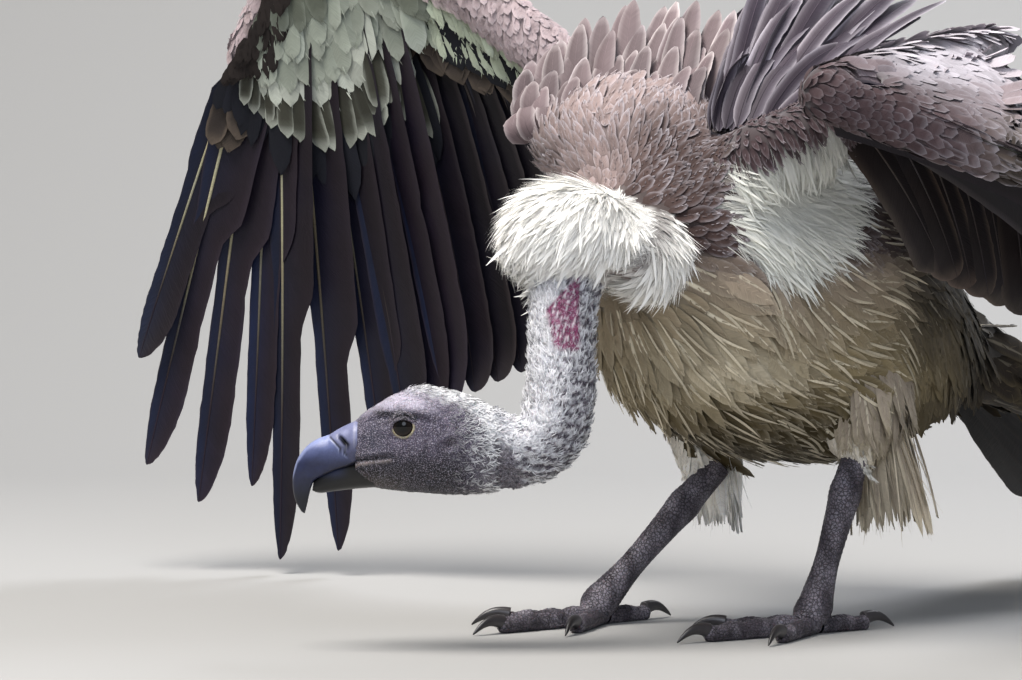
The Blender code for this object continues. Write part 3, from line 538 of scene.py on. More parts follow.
def eyeRing(side, rows, cols):
    # a lid around the eye: its rim lies on the ball, its outer edge dives into the skin
    turn = np.arange(cols) / cols * 2 * math.pi
    k = np.linspace(0, 1, rows)[:, None]
    upper = smooth(np.sin(turn), 0.15, 0.95)
    rear = smooth(-np.cos(turn) * 0.8 - np.sin(turn) * 0.6, 0.1, 0.9)
    lower = smooth(-np.sin(turn) - 0.25 * np.cos(turn), -0.45, 0.25)
    inner, outer = 0.0074 - 0.0022 * upper, 0.0138 + 0.0012 * upper
    radius = inner + (outer - inner) * k ** 1.15
    f, z = eyeAt[0] + radius * np.cos(turn), eyeAt[1] + radius * np.sin(turn)
    ball = head["eye"][1] - eyeDeep + np.sqrt(np.maximum(head["eyeRadius"] ** 2 - inner ** 2, 0)) + 0.0002
    top, bottom, half = (np.interp(f, headTable[:, 0], headTable[:, i]) for i in (1, 2, 3))
    level = np.clip(np.abs((z - (top + bottom) / 2) / ((top - bottom) / 2)), 0, 0.999)
    plain = half * (1 - level ** (2 / roundness)) ** (roundness / 2)
    skin = np.abs(headForm(f, plain, z)[1]) - 0.0006
    roll = np.sin(np.clip(k / 0.42, 0, 1) * math.pi) * (0.0007 + 0.0012 * upper + 0.0004 * rear)
    ease = smooth(k, 0.05, 1.0)
    s = ball * (1 - ease) + skin * ease + roll + 0.0010 * upper * bell(k - 0.55, 0.25)
    s = s + 0.00030 * np.sin(k * 24 + np.sin(turn * 3)) * smooth(k, 0.35, 0.5) - 0.0020 * smooth(k, 0.86, 1.0)
    # rim above 0 is the lid's pale yellow edge below and behind the eye; below 0 a dark line along the upper lid,
    # painted shade under the brow
    rim = np.clip(1 - k / 0.36, 0, 1) * (1.9 * lower - 0.9) + 0.4 * lower * rear * np.clip(1 - k / 0.45, 0, 1)
    tuck = np.stack((f[:1], (ball - 0.0012)[None], z[:1]), axis=-1)
    local = np.concatenate((tuck, np.stack((f, s, z), axis=-1)))
    rim = np.concatenate((rim[:1], rim))
    return headPoint(local[..., 0], side * local[..., 1], local[..., 2]), np.clip(rim, -1, 1)


# the skin under the plumage

def bodyTrees():
    verts, faces, owner = [], [], []
    for index, (node, depth) in enumerate(flesh.values()):
        mesh = nodes[node].data
        base = len(verts)
        verts += [v.co.copy() for v in mesh.vertices]
        faces += [[base + i for i in p.vertices] for p in mesh.polygons]
        owner += [index] * len(mesh.polygons)
    return BVHTree.FromPolygons(verts, faces), np.array(owner)


def vertexNormals(verts, quads):
    a, b, c, d = (verts[quads[:, i]] for i in range(4))
    face = np.cross(c - a, d - b)
    out = np.zeros_like(verts)
    for i in range(4):
        for axis in range(3):
            out[:, axis] += np.bincount(quads[:, i], face[:, axis], minlength=len(verts))
    return unit(out)


def bodySkin(voxel, rounds):
    # fuses the flesh into one smooth surface and sinks it by the coat's depth
    work = bmesh.new()
    for node, depth in flesh.values():
        work.from_mesh(nodes[node].data)
    bmesh.ops.remove_doubles(work, verts=work.verts[:], dist=0.000001)
    mesh = bpy.data.meshes.new("fused")
    work.to_mesh(mesh)
    work.free()
    piece = bpy.data.objects.new("fused", mesh)
    bpy.context.scene.collection.objects.link(piece)
    fuse = piece.modifiers.new("fuse", "REMESH")
    fuse.mode, fuse.voxel_size = "VOXEL", voxel
    made = bpy.data.meshes.new_from_object(piece.evaluated_get(bpy.context.evaluated_depsgraph_get()))
    verts = np.empty(len(made.vertices) * 3)
    made.vertices.foreach_get("co", verts)
    verts = verts.reshape(-1, 3)
    quads = np.array([tuple(p.vertices) for p in made.polygons if len(p.vertices) == 4])
    bpy.data.objects.remove(piece, do_unlink=True)
    edges = np.sort(np.concatenate([quads[:, [i, (i + 1) % 4]] for i in range(4)]), axis=1)
    edges = np.unique(edges, axis=0)
    count = np.maximum(np.bincount(edges.ravel(), minlength=len(verts)), 1)[:, None]

    def relax(data, passes):
        for _ in range(passes):
            total = np.zeros_like(data)
            for i, j in ((0, 1), (1, 0)):
                for c in range(data.shape[1]):
                    total[:, c] += np.bincount(edges[:, i], data[edges[:, j], c], minlength=len(data))
            data = data * 0.4 + total / count * 0.6
        return data

    tree, owner = bodyTrees()
    region = np.array([owner[tree.find_nearest(Vector(v))[2]] for v in verts])
    depth = relax(np.array([depth for node, depth in flesh.values()])[region][:, None], 10)
    verts = relax(verts, rounds)
    for _ in range(3):
        verts = relax(verts - vertexNormals(verts, quads) * depth / 3, 1)
    return verts, quads, region


def wrapUV(points, region):
    # unwraps each part of the body round its own long axis, one tile of the map per part
    out = np.empty((len(points), 2))
    for index in np.unique(region):
        pick = region == index
        p = points[pick]
        low, high = (np.array(v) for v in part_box(flesh[regionNames[index]][0]))
        axis = int(np.argmax(high - low))
        a, b = [i for i in range(3) if i != axis]
        q = p - (low + high) / 2
        turn = np.arctan2(q[:, b], q[:, a]) / (2 * math.pi) + 0.5
        far = np.clip((p[:, axis] - low[axis]) / (high[axis] - low[axis]), 0, 1)
        tile = np.array((index % 4, index // 4)) * 0.25 + 0.01
        out[pick] = tile + 0.23 * np.stack((turn, far), axis=-1)
    return out


skinVerts, skinQuads, skinRegion = bodySkin(0.0055, 8)
skinNormals = vertexNormals(skinVerts, skinQuads)
skinTree = BVHTree.FromPolygons(skinVerts.tolist(), skinQuads.tolist())
names = np.array(regionNames)[skinRegion]
print("skin faces", len(skinQuads))


# colour of the plumage, one function for skin and feathers

def axilShare(q, name):
    # the white patch under the left wing: on the flank, and on the arm only below its own line
    gap = np.hypot((breadth(q) - 0.214) / 0.056, (q[:, 2] - 0.350) / 0.062)
    armLine = 0.383 + (q[:, 1] + 0.105) * 0.348
    place = np.where(name == "upperLeft", 1 - smooth(q[:, 2] - armLine, -0.010, -0.002), (name == "trunk") * 1.0)
    return (1 - smooth(gap, 0.90, 1.10)) * place * (q[:, 0] > 0.03) * (q[:, 0] - q[:, 1] > 0.03)


def foldShare(q):
    # the crease between the ruff's ball and the lobe beside it
    line = ((0.1128, 0.350), (0.1104, 0.322), (0.1040, 0.298), (0.0912, 0.2860), (0.0740, 0.2900))
    gap = np.min([fromLine(breadth(q), q[..., 2], pair)[0] for pair in zip(line, line[1:])], axis=0)
    return bell(gap, 0.0047) * (q[..., 0] - q[..., 1] > 0.10)


def backShare(q):
    # where the brown of the back gives way to the streaked breast: lower beside the ruff's left
    return smooth(q[:, 2], 0.288, 0.308) * (1 - smooth(q[:, 1], 0.02, 0.10) * 0.5)


def markings(points, region):
    q = points - shift
    x, y, z = q[:, 0], q[:, 1], q[:, 2]
    name = np.array(regionNames)[region]
    cloud = wobble(q, 0.085, 31) * 0.5 + wobble(q, 0.030, 32) * 0.5
    creamy = bell(np.linalg.norm((q - np.array((0.075, -0.135, 0.230))) * (0.55, 0.55, 1.4), axis=-1), 0.034)
    back = layered("mantle", ("mantleDark", smooth(cloud, -0.1, 0.7) * 0.6),
                   ("mantleDark", smooth(x, -0.025, 0.020) * smooth(-z, -0.420, -0.380)))
    # on the belly and on the flank behind, the breast darkens: partly darker feathers, partly painted shade below and
    # behind the body
    out = layered("breast", ("olive", smooth(-z, -0.34, -0.22)), ("oliveDark", smooth(cloud, 0.0, 0.9) * 0.45),
                  ("belly", smooth(-z, -0.225, -0.165) * 0.9), ("rump", smooth(y, 0.10, 0.22)),
                  ("flank", smooth(y, -0.02, 0.07) * smooth(z, 0.20, 0.28) * 0.9), ("cream", creamy * 0.70),
                  (back, backShare(q)))
    right = (x < 0) * 1.0
    pale = layered("cream", ("white", right * 0.8))
    web = layered("wristBrown", ("covertPink", smooth(y, -0.13, 0.0)),
                  ("covertTop", smooth(z, 0.425, 0.450) * smooth(y, -0.15, -0.08) * 0.62),
                  # the lower outer edge of the folded wing darker: darker feathers, deepened with painted shade
                  (tint("oliveDark") * 0.35, smooth(breadth(q), 0.31, 0.37) * smooth(-z, -0.425, -0.395) * 0.8))
    for keys, tone in (
            (("mantle",), back),
            (("thighLeft", "thighRight"), layered("thigh", (pale, smooth(-z, -0.19, -0.135) * (0.75 + 0.25 * right)))),
            (("ruff", "collar", "neck"), layered("white", ("ruffShade", smooth(-z, -0.31, -0.26) * 0.5))),
            (("foreRight", "handRight", "upperRight"), layered("armBuff", ("dorsal", smooth(cloud, -0.1, 0.6) * 0.3))),
            (("upperLeft",), layered("wristBrown", ("covertPink", smooth(z, 0.41, 0.45) * 0.6))), (armWeb, web)):
        out = np.where(np.isin(name, keys)[:, None], tone, out)
    for key, leg in legs.items():
        # white cuffs where the feathering ends over the shank
        cuff = nearness(points, bird(*leg["ankle"]), 0.020, 0.050) * (name == "thigh" + key.capitalize())
        out = mix(out, "white", cuff * 0.75)
    # painted shade in the crease beside the ruff: dark in its upper part, reddish brown lower down
    low = foldShare(q) * np.isin(name, ("ruff", "collar"))
    return layered(out, (mix("mantleDark", "foldBrown", smooth(-z, -0.300, -0.288)), low * 0.8),
                   ("axil", axilShare(q, name)))


# the lie of the plumage: the way a feather points from its root

lieTable = {"mantle": (0.0, 0.30, 0.95), "thighLeft": (0.05, 0.22, -1.0), "thighRight": (-0.05, 0.20, -1.0),
            "rump": (0.0, 0.90, -0.45), "neck": (-0.2, -0.2, -1.0), "upperLeft": (0.10, 0.35, -0.75),
            "upperRight": (-0.30, 0.75, -0.35), "foreLeft": (0.55, 0.75, 0.05), "handLeft": (0.55, 0.75, -0.25),
            "web": (0.50, 0.80, -0.12), "foreRight": (-0.10, 0.35, -0.95), "handRight": (-0.35, 0.20, -0.90)}


def lieOf(points, region):
    q = points - shift
    x, y, z = q[:, 0], q[:, 1], q[:, 2]
    name = np.array(regionNames)[region]
    level = np.ones(len(q))
    outward = np.stack((0.42 * np.sign(x) * smooth(np.abs(x), 0, 0.05), level * 0.40, level * -0.85), axis=-1)
    flow = mix((0.0, 0.95, -0.22), outward, smooth(-y, -0.02, 0.15) * smooth(z, 0.17, 0.25))
    rear = smooth(y, -0.02, 0.08) * smooth(-z, -0.32, -0.24) * smooth(z, 0.15, 0.20)
    flow = mix(flow, (0.0, 0.25, -0.95), rear * 0.7)
    for key, way in lieTable.items():
        flow = np.where((name == key)[:, None], way, flow)
    flow = mix(flow, (0.0, 1.0, -0.1), (name == "mantle") * smooth(y, -0.10, -0.02))
    # around the ruff everything streams away from it
    ball = headRaw(-0.1263, -0.036, 0.3180)
    away = q - ball
    flow = mix(flow, unit(away * (1.0, 1.0, 1.25)),
               nearness(q, ball, 0.085, 0.165) * np.isin(name, ("trunk", "mantle")))
    flow = np.where((name == "ruff")[:, None], unit(away) * 0.55 + (-0.30, -0.30, -0.60), flow)
    curl = unit(np.cross(q - (0.042, -0.172, 0.302), (0.70, -0.70, 0.10)))
    flow = np.where((name == "collar")[:, None], curl * 0.7 + (-0.1, -0.1, -0.6), flow)
    return flow + np.stack([wobble(q, 0.06, 40 + i) for i in range(3)], axis=-1) * 0.14


def alongSkin(flow, normal):
    return unit(flow - normal * np.sum(flow * normal, axis=-1, keepdims=True))


def endAtFold(q, lie, length):
    # shortens what would hang across the ruff's crease
    out = length * (1 - 0.55 * foldShare(q))
    for share in (1.0, 0.85, 0.7, 0.55, 0.4, 0.25):
        out = np.where(foldShare(q + lie * (share * length)[:, None]) > 0.35, share * length, out)
    return out


def scatter(verts, quads, normals, spacing, seed):
    # points spread evenly over a mesh, none nearer to another than the spacing at its place
    draw = np.random.default_rng(seed)
    tri = np.concatenate((quads[:, [0, 1, 2]], quads[:, [0, 2, 3]]))
    a, b, c = (verts[tri[:, i]] for i in range(3))
    gap = spacing[tri].mean(1)
    area = np.linalg.norm(np.cross(b - a, c - a), axis=-1) / 2 * (gap < 0.5)
    chance = area / np.maximum(gap, 1e-5) ** 2
    count = int(chance.sum() * 3.0)
    face = draw.choice(len(tri), count, p=chance / chance.sum())
    u, v = draw.random(count), draw.random(count)
    flip = u + v > 1
    u[flip], v[flip] = 1 - u[flip], 1 - v[flip]
    share = np.stack((1 - u - v, u, v), axis=-1)[..., None]
    points = (verts[tri[face]] * share).sum(1)
    facing = unit((normals[tri[face]] * share).sum(1))
    tree = KDTree(count)
    for i, p in enumerate(points):
        tree.insert(p, i)
    tree.balance()
    free = np.ones(count, bool)
    keep = []
    for i in range(count):
        if free[i]:
            keep.append(i)
            for _, j, _ in tree.find_range(points[i], gap[face[i]]):
                free[j] = False
    return points[keep], facing[keep], tri[face[keep], np.argmax(share[keep][..., 0], axis=1)]


# half width of a vane along its length, as pairs of place and share
profiles = {
    "lance": ((0, 0.30), (0.2, 0.80), (0.5, 1.0), (0.75, 0.80), (0.9, 0.45), (1, 0.04)),
    "ogive": ((0, 0.45), (0.2, 0.92), (0.45, 1.0), (0.70, 0.80), (0.88, 0.42), (1, 0.03)),
    "round": ((0, 0.35), (0.25, 0.85), (0.6, 1.0), (0.82, 0.90), (0.94, 0.55), (1, 0.06)),
    "thread": ((0, 0.8), (0.3, 1.0), (0.7, 0.65), (1, 0.05)),
}


def grow(root, lie, normal, length, half, lift, settle, rows, cols, profile, rng,
         sway=0.0, camber=0.25, fray=0.0, twist=0.0, soft=0.5):
    # vanes or threads that leave the skin at an angle and settle along the coat
    count = len(root)
    length, half, lift, settle = (np.broadcast_to(v, count) for v in (length, half, lift, settle))
    t, u = np.linspace(0, 1, rows), np.linspace(-1, 1, cols)
    bend = lift[:, None] + (settle - lift)[:, None] * t
    step = length[:, None] / (rows - 1)
    ahead = np.cumsum(np.cos(bend) * step, axis=1) - np.cos(bend) * step
    rise = np.cumsum(np.sin(bend) * step, axis=1) - np.sin(bend) * step
    side = np.cross(normal, lie)
    drift = sway * rng.normal(size=count)[:, None] * length[:, None] * t ** 2
    curve = root[:, None] + lie[:, None] * ahead[..., None] + normal[:, None] * rise[..., None] \
        + side[:, None] * drift[..., None]
    face = normal[:, None] * np.cos(bend)[..., None] - lie[:, None] * np.sin(bend)[..., None]
    roll = twist * rng.normal(size=count)[:, None, None] + (0.12 * rng.normal(size=count))[:, None, None]
    across = side[:, None] * np.cos(roll) + face * np.sin(roll)
    face = face * np.cos(roll) - side[:, None] * np.sin(roll)
    wide = np.interp(t, *zip(*profiles[profile]))[None, :, None] * half[:, None, None] * u
    if fray:
        nick = rng.uniform(-1, 0.35, (count, rows, cols)) * (np.abs(u) > 0.4) * smooth(t, 0.25, 0.7)[:, None]
        wide = wide * (1 + fray * nick)
    verts = curve[:, :, None] + across[:, :, None] * wide[..., None]
    verts = verts - face[:, :, None] * (camber * half[:, None, None] * (u ** 2) * np.ones((1, rows, 1)))[..., None]
    if fray:
        slip = rng.uniform(-1, 0.5, (count, 1, cols)) * (np.abs(u) > 0.1) * (t ** 3)[:, None] * length[:, None, None]
        verts = verts + lie[:, None, None] * (fray * 0.10 * slip)[..., None]
    shaded = unit(face[:, :, None] + across[:, :, None] * (2 * camber * u)[:, None]) * (1 - soft) \
        + normal[:, None, None] * soft
    return {"verts": verts, "wide": wide, "far": (length[:, None] * t)[:, :, None] * np.ones(cols),
            "normal": unit(shaded), "u": np.broadcast_to(u, verts.shape[:3]),
            "t": np.broadcast_to(t[:, None], verts.shape[:3])}


def threads(root, lie, normal, count, length, half, lift, settle, rng, spread=0.35, rows=4, sway=0.15, jitter=0.002,
            twist=0.9, scatterLift=0.16):
    # several threads from each root, fanned a little, to be dressed as down
    pick = np.repeat(np.arange(len(root)), count)
    m = len(pick)
    length, half, lift, settle = (np.broadcast_to(v, len(root))[pick] for v in (length, half, lift, settle))
    root, lie, normal = root[pick], lie[pick], normal[pick]
    side = np.cross(normal, lie)
    way = unit(lie + side * rng.normal(size=(m, 1)) * spread + normal * rng.normal(size=(m, 1)) * 0.10)
    start = root + side * rng.normal(size=(m, 1)) * jitter + lie * rng.normal(size=(m, 1)) * jitter
    size = length * rng.uniform(0.65, 1.15, m)
    raised = lift + rng.normal(size=m) * scatterLift
    return grow(start, alongSkin(way, normal), normal, size, half * rng.uniform(0.7, 1.3, m), raised, settle, rows, 2,
                "thread", rng, sway=sway, camber=0.0, twist=twist, soft=0.85), pick


def clearSkin(batch, room):
    # lifts the vanes that would sink where the body is hollow
    verts = batch["verts"]
    n, rows, cols = verts.shape[:3]
    for i in range(n):
        for r in range(1, rows):
            p = Vector(verts[i, r, cols // 2])
            spot, normal, index, gap = skinTree.find_nearest(p)
            short = room * (0.3 + r / rows) - (p - spot).dot(normal)
            if 0 < short < 0.007:
                verts[i, r] += np.array(normal) * short
    return batch


def dress(batch, colour, place, chance, tone, patch=0.003, tipColour=None, tipShare=0.0, edge=0.0, rootShade=0.65,
          edgeFrom=0.45):
    # colour of each corner: darker down inside the coat, tip and rim in their own colour; each tuft has its own patch
    # in the map at its root's place
    n, rows, cols = batch["verts"].shape[:3]
    full = np.ones((n, rows, cols))
    t, u = batch["t"][..., None], np.abs(batch["u"])[..., None]
    shade = colour[:, None, None] * (rootShade + (1 - rootShade) * smooth(t, 0.05, 0.45))
    if tipColour is not None:
        reach = np.clip(smooth(t, 0.72, 1.0) + edge * smooth(u, edgeFrom, 1.0) * smooth(t, 0.2, 0.5), 0, 1)
        reach = reach * np.broadcast_to(tipShare, n)[:, None, None, None]
        shade = shade * (1 - reach) + np.broadcast_to(tipColour, (n, 3))[:, None, None] * reach
    batch["plume"] = opaque(shade * full[..., None])
    batch["share"] = np.stack((batch["u"], batch["t"], chance[:, None, None] * full), axis=-1)
    batch["span"] = np.stack((batch["wide"], batch["far"], np.broadcast_to(tone, n)[:, None, None] * full), axis=-1)
    batch["bake"] = place[:, None, None] + patch * np.stack(((batch["u"] + 1) / 2, batch["t"]), axis=-1)
    return batch


def gather(name, batches, material, slot, *replaced):
    # joins batches of vanes into one piece
    quads, base = [], 0
    keys = ["verts", "plume", "share", "span", "bake"] + ["normal"] * all("normal" in b for b in batches)
    for b in batches:
        n, rows, cols = b["verts"].shape[:3]
        q = gridQuads(rows, cols, b.get("wrap", False))
        quads.append((q[None] + (np.arange(n) * rows * cols)[:, None, None]).reshape(-1, 4) + base)
        base += n * rows * cols
    data = {k: np.concatenate([b[k].reshape(-1, b[k].shape[-1]) for b in batches]) for k in keys}
    verts, quads, facing = data["verts"], np.concatenate(quads), data.get("normal")
    if facing is not None:
        a, b, c, d = (verts[quads[:, i]] for i in range(4))
        turned = np.sum(np.cross(c - a, d - b) * facing[quads].mean(1), axis=-1) < 0
        quads[turned] = quads[turned][:, ::-1]
    piece = buildMesh(name, verts, quads, (material,), {k: data[k] for k in ("plume", "share", "span")}, data["bake"],
                      facing)
    print(name, "triangles", 2 * len(piece.data.polygons))
    return own(piece, slot, *replaced)


def barbs(vane, colour, place, count, share, half, tip, strength):
    # soft free barbs: thin threads that leave the shaft at a slant and pass the vane's edge
    verts = vane["verts"]
    n, rows, cols = verts.shape[:3]
    batches = []
    for k in range(count):
        at = min(rows - 2, 2 + int((rows - 3) * k / max(count - 1, 1)))
        start = verts[:, at, cols // 2]
        ahead = unit(verts[:, at + 1, cols // 2] - verts[:, at - 1, cols // 2])
        across = unit(verts[:, at, -1] - verts[:, at, 0])
        normal = np.cross(ahead, across)
        turn = (1 if k % 2 else -1) * rng.uniform(0.15, 0.55, n)[:, None]
        size = vane["far"][:, -1, 0] * share * rng.uniform(0.7, 1.3, n)
        thread = grow(start + normal * 0.0005, unit(ahead * np.cos(turn) + across * np.sin(turn)), normal, size,
                      half * rng.uniform(0.7, 1.3, n), 0.10, -0.12, 4, 2, "thread", rng, sway=0.10, camber=0.0,
                      twist=0.25)
        tone = mix(colour, tip, np.clip(strength * (at / rows + 0.15) * rng.uniform(0.3, 1.6, n), 0, 1))
        batches.append(dress(thread, tone, place, rng.random(n), 0.0, rootShade=0.95))
    return batches


# coat of the body

rng = np.random.default_rng(7)

# part: spacing, length, half width, lift and settle in degrees, profile, tip colour, tip share, streak, free barbs and
# their share of the length, fray, camber, shade at the root
plumage = {
    "trunk": (0.0076, 0.046, 0.0074, 5, -4, "lance", "cream", 0.28, 1.0, 5, 0.13, 0.12, 0.12, 0.88),
    "mantle": (0.0062, 0.022, 0.0048, 10, -3, "ogive", "covertTop", 0.60, 0.0, 3, 0.22, 0.15, 0.20, 0.70),
    "thighLeft": (0.0066, 0.044, 0.0046, 5, -4, "lance", "thighTip", 0.50, 0.7, 6, 0.15, 0.25, 0.14, 0.80),
    "thighRight": (0.0066, 0.036, 0.0044, 5, -4, "lance", "cream", 0.50, 0.3, 6, 0.15, 0.25, 0.14, 0.85),
    "rump": (0.0088, 0.050, 0.0085, 8, -3, "round", "olive", 0.45, 0.2, 4, 0.20, 0.12, 0.18, 0.70),
    "upperLeft": (0.0046, 0.017, 0.0030, 6, -4, "ogive", "covertTop", 0.30, 0.0, 2, 0.20, 0.12, 0.12, 0.75),
    "upperRight": (0.0058, 0.018, 0.0038, 5, -3, "round", "covertTop", 0.30, 0.0, 2, 0.25, 0.12, 0.14, 0.80),
    "foreLeft": (0.0064, 0.026, 0.0064, 3, -12, "round", "covertTop", 0.40, 0.0, 0, 0.2, 0.08, 0.10, 0.80),
    "foreRight": (0.0056, 0.016, 0.0036, 5, -3, "round", "covertTop", 0.30, 0.0, 2, 0.25, 0.12, 0.14, 0.80),
    "web": (0.0068, 0.030, 0.0074, 3, -12, "round", "covertTop", 0.40, 0.0, 0, 0.2, 0.08, 0.10, 0.80),
}
plumage.update({"handLeft": plumage["foreLeft"], "handRight": plumage["foreRight"]})
bare = 9.0     # a spacing so wide that nothing grows


def rootSpacing():
    # feathers stand closer on the back, above the ankles and round the left wrist
    gap = np.array([plumage[n][0] if n in plumage else bare for n in regionNames])[skinRegion]
    gap = np.where((names == "trunk") & (backShare(skinVerts - shift) > 0.3), 0.0056, gap)
    for side, leg in legs.items():
        cuff = nearness(skinVerts, bird(*leg["ankle"]), 0.025, 0.075)
        gap = gap * (1 - 0.40 * cuff * (names == "thigh" + side.capitalize()))
    wrist = nearness(skinVerts, wristAt, 0.02, 0.11)
    return gap * (1 - 0.36 * wrist * np.isin(names, armWeb + ("upperLeft",)))


axilOf = axilShare(skinVerts - shift, names)


def closePartings(points, facing, region, lie):
    # where no feather lies over a root, short ones fan out from it so that the skin stays hidden
    table = np.array([plumage.get(key, (0, 0, 0))[1:3] for key in regionNames])[region]
    length, half = table.T
    side = np.cross(facing, lie)
    cover = np.zeros(len(points))
    for i in range(0, len(points), 400):
        gap = points[i:i + 400, None] - points[None]
        ahead, across, above = (np.sum(gap * way[None], axis=-1) for way in (lie, side, facing))
        over = (ahead > 0.10 * length) & (ahead < 0.80 * length) & (np.abs(across) < half) & (np.abs(above) < 0.015)
        cover[i:i + 400] = over.sum(1)
    # roots beside the down lie under its locks already
    soft = skinVerts[np.isin(names, ("ruff", "collar")) | (axilOf > 0.4)][::3]
    naked = np.where((cover < 1) & (length > 0))[0]
    naked = naked[[np.min(np.sum((soft - points[i]) ** 2, axis=-1)) > 0.024 ** 2 for i in naked]]
    print("partings closed at", len(naked), "roots")
    turns = (math.radians(100), math.radians(-100), math.pi, math.radians(45))
    ways = [lie[naked] * math.cos(turn) + side[naked] * math.sin(turn) for turn in turns]
    every = np.concatenate([np.arange(len(points))] + [naked] * len(turns))
    short = np.concatenate((np.where(cover < 1, 0.75, 1.0), np.full(len(every) - len(points), 0.42)))
    return points[every], facing[every], region[every], np.concatenate([lie] + ways), short


def lanes(root, lie, facing, size, colour, tile):
    # narrow pale streak feathers over the breast
    n = len(root)
    lane = grow(root + facing * 0.003 + lie * 0.012, lie, facing, size * 0.80, 0.00125, math.radians(3),
                math.radians(-3), 9, 3, "lance", rng, sway=0.10, camber=0.3)
    pale = mix(colour, "cream", rng.uniform(0.35, 0.95, n))
    return dress(clearSkin(lane, 0.0060), pale, tile, rng.random(n), 0.0, rootShade=0.9)


def wristBridge():
    # a few more bridge the groove where the left forearm meets the hand
    s, k = (v.ravel() for v in np.meshgrid(np.arange(4) * 0.008, np.arange(5) * 0.0045))
    way, out = unit(np.array((0.53, 0.83, -0.10))), unit(np.array((0.74, -0.46, 0.48)))
    root = bird(0.2080, -0.1370, 0.4490) + way * s[:, None] - up * k[:, None] + out * 0.0015
    n = len(root)
    normal = np.tile(out, (n, 1))
    vane = grow(root, alongSkin(np.tile(way, (n, 1)), normal), normal, 0.022 * rng.uniform(0.9, 1.1, n), 0.0056,
                math.radians(3), math.radians(-8), 7, 7, "round", rng, sway=0.06, camber=0.10)
    tone = mix("wristBrown", "covertPink", rng.uniform(0.5, 0.9, n))
    tile = wrapUV(root, np.full(n, regionNames.index("foreLeft")))
    return dress(vane, tone, tile, rng.random(n), 0.0, tipColour=tint("covertTop"), tipShare=0.35, edge=0.7,
                 edgeFrom=0.60, rootShade=0.8)


def bodyFeathers():
    points, facing, corner = scatter(skinVerts, skinQuads, skinNormals,
                                     np.where(axilOf > 0.40, bare, rootSpacing()), 11)
    region = skinRegion[corner]
    lie = alongSkin(lieOf(points, region), facing)
    roots = len(points)
    points, facing, region, lie, short = closePartings(points, facing, region, lie)
    # nothing stands up where the back meets the tail, and no fan hangs under the folded wing
    stray = ((points - shift)[:, 1] > 0.12) & (lie[:, 2] > 0.05)
    under = np.isin(np.array(regionNames)[region], armWeb) & (facing[:, 2] < -0.3)
    keep = ~(stray | (under & (np.arange(len(points)) >= roots)))
    points, facing, region, lie, short = (v[keep] for v in (points, facing, region, lie, short))
    steep = smooth(np.abs(np.sum(unit(lieOf(points, region)) * facing, axis=-1)), 0.30, 0.75)
    colour, place, q = markings(points, region), wrapUV(points, region), points - shift
    groups = {label + kind: [] for label in ("breast", "flank", "back", "arm_left", "arm_right")
              for kind in ("", "_barbs")}
    for index, key in enumerate(regionNames):
        if key not in plumage:
            continue
        gap, length, half, lift, settle, profile, tip, share, streak, count, reach, fray, camber, shade = plumage[key]
        here = region == index
        halves = (("breast", here),)
        if key == "trunk":
            halves = (("breast", here & (q[:, 1] < -0.02)), ("flank", here & (q[:, 1] >= -0.02)))
        elif not key.startswith("thigh"):
            arm = "arm_right" if key.endswith("Right") else "arm_left"
            halves = (("back" if key in ("mantle", "rump") else arm, here),)
        for label, pick in halves:
            root, way, out, spot, base, tile = (v[pick] for v in (points, lie, facing, q, colour, place))
            n = len(root)
            size = length * rng.uniform(0.82, 1.18, n) * short[pick]
            wide = half * rng.uniform(0.85, 1.2, n)
            raised = np.radians(lift) * rng.uniform(0.6, 1.4, n)
            tone = streak * (rng.random(n) < 0.36) * rng.uniform(0.5, 1.0, n)
            tipTone, soft = np.tile(tint(tip), (n, 1)), np.full(n, share)
            if key == "trunk":
                upper, shady = backShare(spot) * (spot[:, 1] < 0.02), smooth(spot[:, 1], -0.02, 0.07)
                size, wide = size * (1 - 0.50 * upper), wide * (1 - 0.20 * upper)
                tipTone, soft = layered(tipTone, ("covertTop", upper), ("olive", shady)), soft + 0.1 * upper
                tone = tone * (1 - upper) * (1 - 0.7 * shady)
            if key == "mantle":
                top = smooth(spot[:, 2], 0.395, 0.430)
                size, wide, raised = size * (1 + 0.45 * top), wide * (1 + 0.35 * top), raised * (1 + 0.8 * top)
            if key.startswith("thigh"):
                near = nearness(root, bird(*legs[key[5:].lower()]["ankle"]), 0.025, 0.075)
                size, wide = size * (1 - 0.45 * near), wide * (1 - 0.40 * near)
            if key in armWeb + ("upperLeft",):
                near = nearness(root, wristAt, 0.02, 0.12)
                upright = steep[pick] * (1 - near)
                size = size * (1 - 0.50 * near) * (1 - 0.55 * upright)
                wide = wide * (1 - 0.45 * near) * (1 - 0.30 * upright)
                soft = soft * (1 - 0.6 * near)
            chance = rng.random(n)
            vane = grow(root, way, out, size, wide, raised, np.radians(settle), 7, 5 if fray > 0.1 else 7, profile, rng,
                        sway=0.06, camber=camber, fray=fray)
            strength = soft * rng.uniform(0.4, 1.2, n)
            if key == "trunk":
                on = (rng.random(n) < 0.30) & (upper < 0.3) & (shady < 0.8)
                groups[label].append(lanes(*(v[on] for v in (root, way, out, size, base, tile))))
            vane = dress(clearSkin(vane, 0.0022), base, tile, chance, tone, tipColour=tipTone, tipShare=strength,
                         edge=0.7, edgeFrom=0.60, rootShade=shade)
            groups[label].append(vane)
            fine = 0.00050 if label in ("breast", "flank") else 0.00042
            groups[label + "_barbs"] += barbs(vane, base, tile, count, reach, fine, tipTone, strength)
    groups["arm_left"].append(wristBridge())
    for label, batches in groups.items():
        gather("feathers_" + label, batches, contour, "body_feathers")


